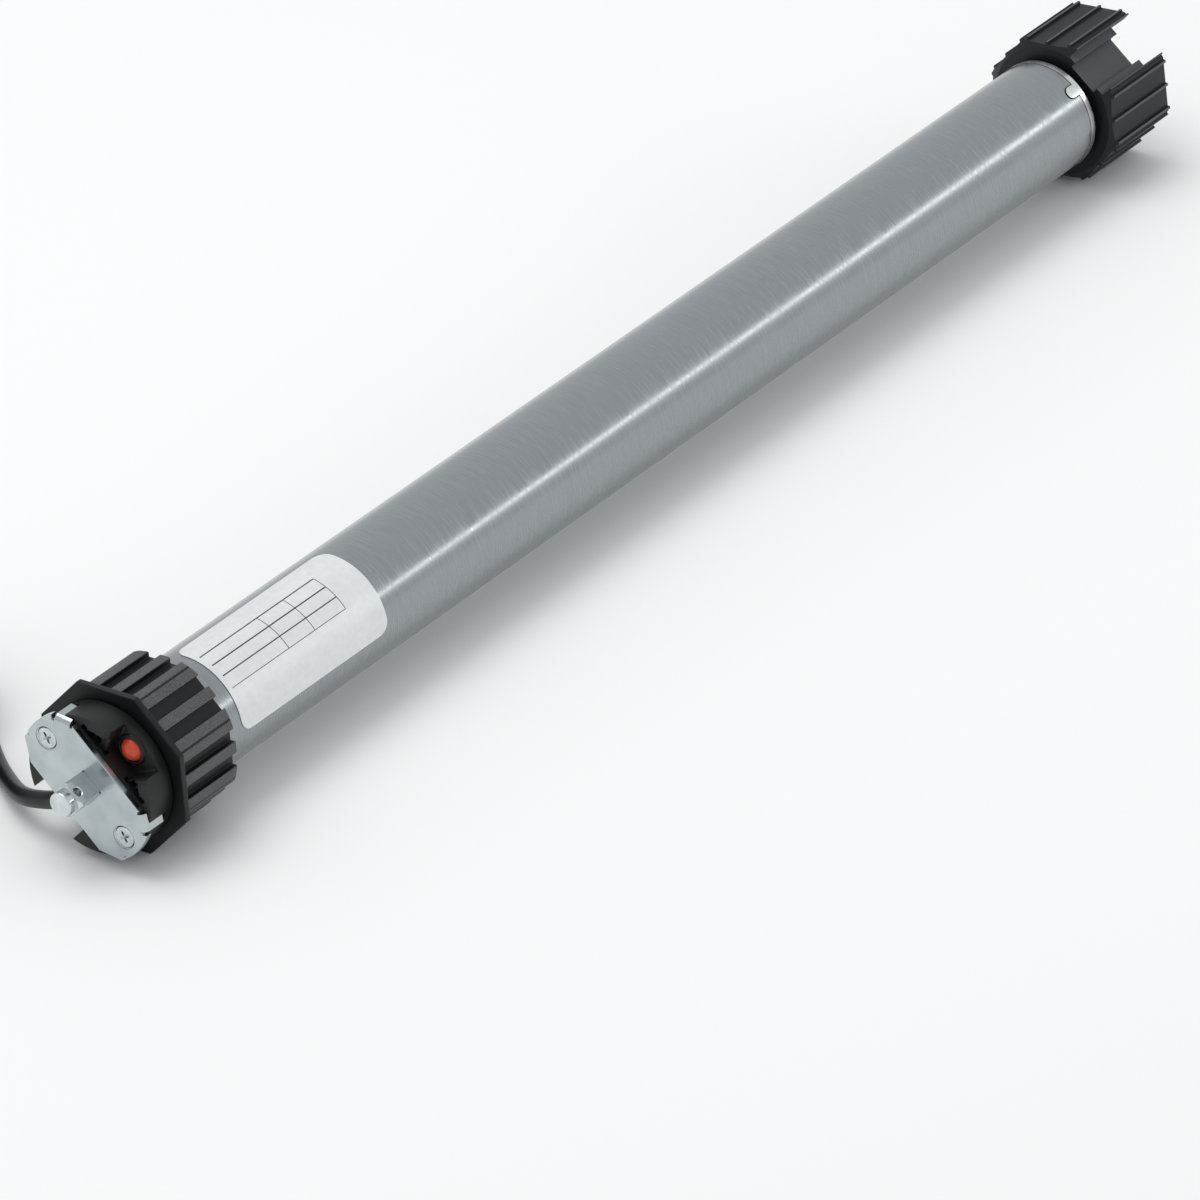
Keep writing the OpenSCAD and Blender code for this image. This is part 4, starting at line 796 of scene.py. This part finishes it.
wheel_shape = combined("DIFFERENCE", wheel_shape, cavity, bore,
                       prism(octagon(cavity_flat + 0.12), hub_end, wheel_high.x + 1),
                       block_at(floor_at - 4, ledge_half, hub_end + 2, wheel_high.x + 1,
                                45 * slot_flat))
softened(wheel_shape, 0.2, sharper_than=48)
# Rib tops take the second finish, painted lighter as a painted highlight; the slot's steps take the
# third, painted lighter as painted light.
for face in wheel_shape.faces:
    middle = face.calc_center_median()
    if middle.x > wheel_x + 1 and abs(face.normal.x) < 0.5:
        out, along = Matrix.Rotation(math.radians(-45 * slot_flat), 2) @ middle.yz
        if out_to_flat(middle) > wheel_af / 2 + rib_h - 0.12:
            face.material_index = 1
        elif abs(along) < ledge_half + 0.1 and out > floor_at - 0.1:
            face.material_index = 2
turned_about_axis(wheel_shape, wheel_turn)
wheel_nylon = grained_finish("wheel_black_nylon", "#0d0e0f", "#18191b", 0.4, 0.0, (0.36, 0.5),
                             0.02, specular=0.3)
# The rib tops are painted lighter than the flats, a painted highlight along the ribs, and the slot's
# steps are painted lighter still, painted light where the lamp falls into the slot.
rib_top_painted_highlight_nylon = grained_finish("rib_top_nylon_painted_highlight", "#2c2d2f", "#47484b", 0.4, 0.0, (0.3, 0.42),
                              0.01)
slot_painted_light_nylon = grained_finish("slot_nylon_painted_light", "#3c3d41", "#4a4b50", 0.4, 0.0, (0.5, 0.65), 0.02)
finished(wheel_shape, "drive_wheel_moulding", "output", "wheel_plastic",
         [wheel_nylon, rib_top_painted_highlight_nylon, slot_painted_light_nylon], "drive_wheel", smooth=26)

# A sprung circlip keeps the wheel on the output shaft. Both show in the wheel's open end: the
# clip is blued spring steel, and the shaft has a turned tip behind its square.
clip_shape = softened(copy_of("wheel_circlip"), 0.15, sharper_than=40)
blued_spring = grained_finish("blued_spring_steel", "#3d4146", "#5b6067", 0.4, 1.0, (0.25, 0.36),
                              0.004)
finished(clip_shape, "retaining_clip", "output", "spring_steel", [blued_spring], "wheel_circlip")
shaft_shape = softened(copy_of("output_shaft"), 0.2, sharper_than=40)
ground_steel = grained_finish("ground_gear_steel", "#8d9194", "#b3b7b9", 0.3, 1.0, (0.22, 0.34),
                              0.006, stretch=(0.2, 1, 1))
finished(shaft_shape, "output_shaft_blank", "output", "gear_steel", [ground_steel], "output_shaft")

# The works inside the tube keep their CAD shapes. Each is finished as the real piece is: drawn
# aluminium, stacked electrical steel, enamelled wire, acetal, sintered bronze and so on.
INNER_FINISHES = {
    "die_cast_aluminium": (("front_end_bell", "rear_end_bell", "brake_plate"),
                           ("#a4a8aa", "#c3c7c8", 0.8, 1.0, (0.32, 0.46), 0.02)),
    "drawn_aluminium_can": (("capacitor",),
                            ("#bfc3c5", "#d6d9da", 0.4, 1.0, (0.2, 0.3), 0.004, (1, 0.1, 0.1))),
    "oiled_electrical_steel": (("stator_core", "rotor_core", "brake_magnet", "brake_armature"),
                               ("#5a5e61", "#7d8184", 0.5, 1.0, (0.3, 0.42), 0.01, (6, 0.1, 0.1))),
    "enamelled_copper_winding": (("stator_winding",),
                                 ("#8a4520", "#bd6d35", 0.9, 0.85, (0.22, 0.34), 0.12, (0.2, 1, 1))),
    "ground_bearing_steel": (("front_bearing", "rear_bearing", "rotor_shaft"),
                             ("#b4b8bb", "#d1d5d7", 0.25, 1.0, (0.12, 0.2), 0.002)),
    "sintered_gear_steel": (("ring_gear_housing", "carrier_1", "carrier_2", "planet_1a",
                             "planet_1b", "planet_1c", "planet_2a", "planet_2b", "planet_2c",
                             "planet_3a", "planet_3b", "planet_3c"),
                            ("#6f7376", "#92969a", 0.35, 1.0, (0.3, 0.45), 0.012)),
    "sintered_bronze": (("output_bush",),
                        ("#8d6a35", "#b18b4c", 0.3, 1.0, (0.28, 0.4), 0.01)),
    "natural_acetal": (("limit_ring", "limit_pinion"),
                       ("#cfc8b6", "#e0dac9", 0.6, 0.0, (0.34, 0.44), 0.006)),
    "dark_moulded_nylon": (("limit_case", "chassis_tray", "tube_plug", "setting_switch"),
                           ("#222427", "#303236", 0.6, 0.0, (0.42, 0.55), 0.015)),
    "green_board_laminate": (("circuit_board",),
                             ("#17462f", "#23603f", 0.5, 0.0, (0.3, 0.4), 0.004)),
    "component_moulding": (("board_parts",),
                           ("#26343f", "#33444f", 0.7, 0.0, (0.35, 0.48), 0.008)),
    "bonded_brake_lining": (("brake_disc",),
                            ("#3b3029", "#5b4b3e", 0.45, 0.0, (0.7, 0.85), 0.06)),
    "bright_zinc_pin": (("plug_pins",),
                        ("#b0b6b9", "#d3d8da", 0.5, 1.0, (0.16, 0.26), 0.005)),
}
for finish, (node_names, look) in INNER_FINISHES.items():
    made = grained_finish(finish, *look)
    for node_name in node_names:
        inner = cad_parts[node_name].data
        inner.materials.clear()
        inner.materials.append(made)

# The motor lies on a plain pale sweep, as in the photograph. It takes no part in the model and
# only catches the soft shadow under the tube.
floor = bpy.data.meshes.new("floor")
floor_shape = bmesh.new()
bmesh.ops.create_grid(floor_shape, x_segments=1, y_segments=1, size=12)
floor_shape.to_mesh(floor)
floor_shape.free()
ground_plane = bpy.data.objects.new("floor", floor)
ground_plane.location = (0.3, 0, ground * MM)
bpy.context.scene.collection.objects.link(ground_plane)
floor_paint = bpy.data.materials.new("pale_floor")
floor_paint.use_nodes = True
floor_shader = floor_paint.node_tree.nodes["Principled BSDF"]
floor_shader.inputs["Base Color"].default_value = linear("#f9f9f8")
floor_shader.inputs["Roughness"].default_value = 0.9
floor.materials.append(floor_paint)

# The light is a bright white room, a large soft lamp overhead, and a strip lamp beyond the
# drive wheel, which draws the long highlight down the tube.
world = bpy.data.worlds.new("studio")
bpy.context.scene.world = world
world.use_nodes = True
room = world.node_tree.nodes["Background"]
room.inputs["Color"].default_value = linear("#f4f6f8")
room.inputs["Strength"].default_value = 0.78


def softbox(name, place, aim, size, power):
    """A rectangular studio lamp."""
    lamp = bpy.data.lights.new(name, "AREA")
    lamp.shape = "RECTANGLE"
    lamp.size, lamp.size_y = size
    lamp.energy = power
    made = bpy.data.objects.new(name, lamp)
    bpy.context.scene.collection.objects.link(made)
    made.location = place
    made.rotation_mode = "QUATERNION"
    made.rotation_quaternion = (Vector(aim) - Vector(place)).to_track_quat("-Z", "Y")


softbox("strip_light", (1.35, -1.05, 0.45), (0.3, 0, 0), (1.2, 0.1), 2.0)
softbox("top_light", (0.1, 0.5, 1.9), (0.3, 0, 0), (1.6, 1.2), 14)
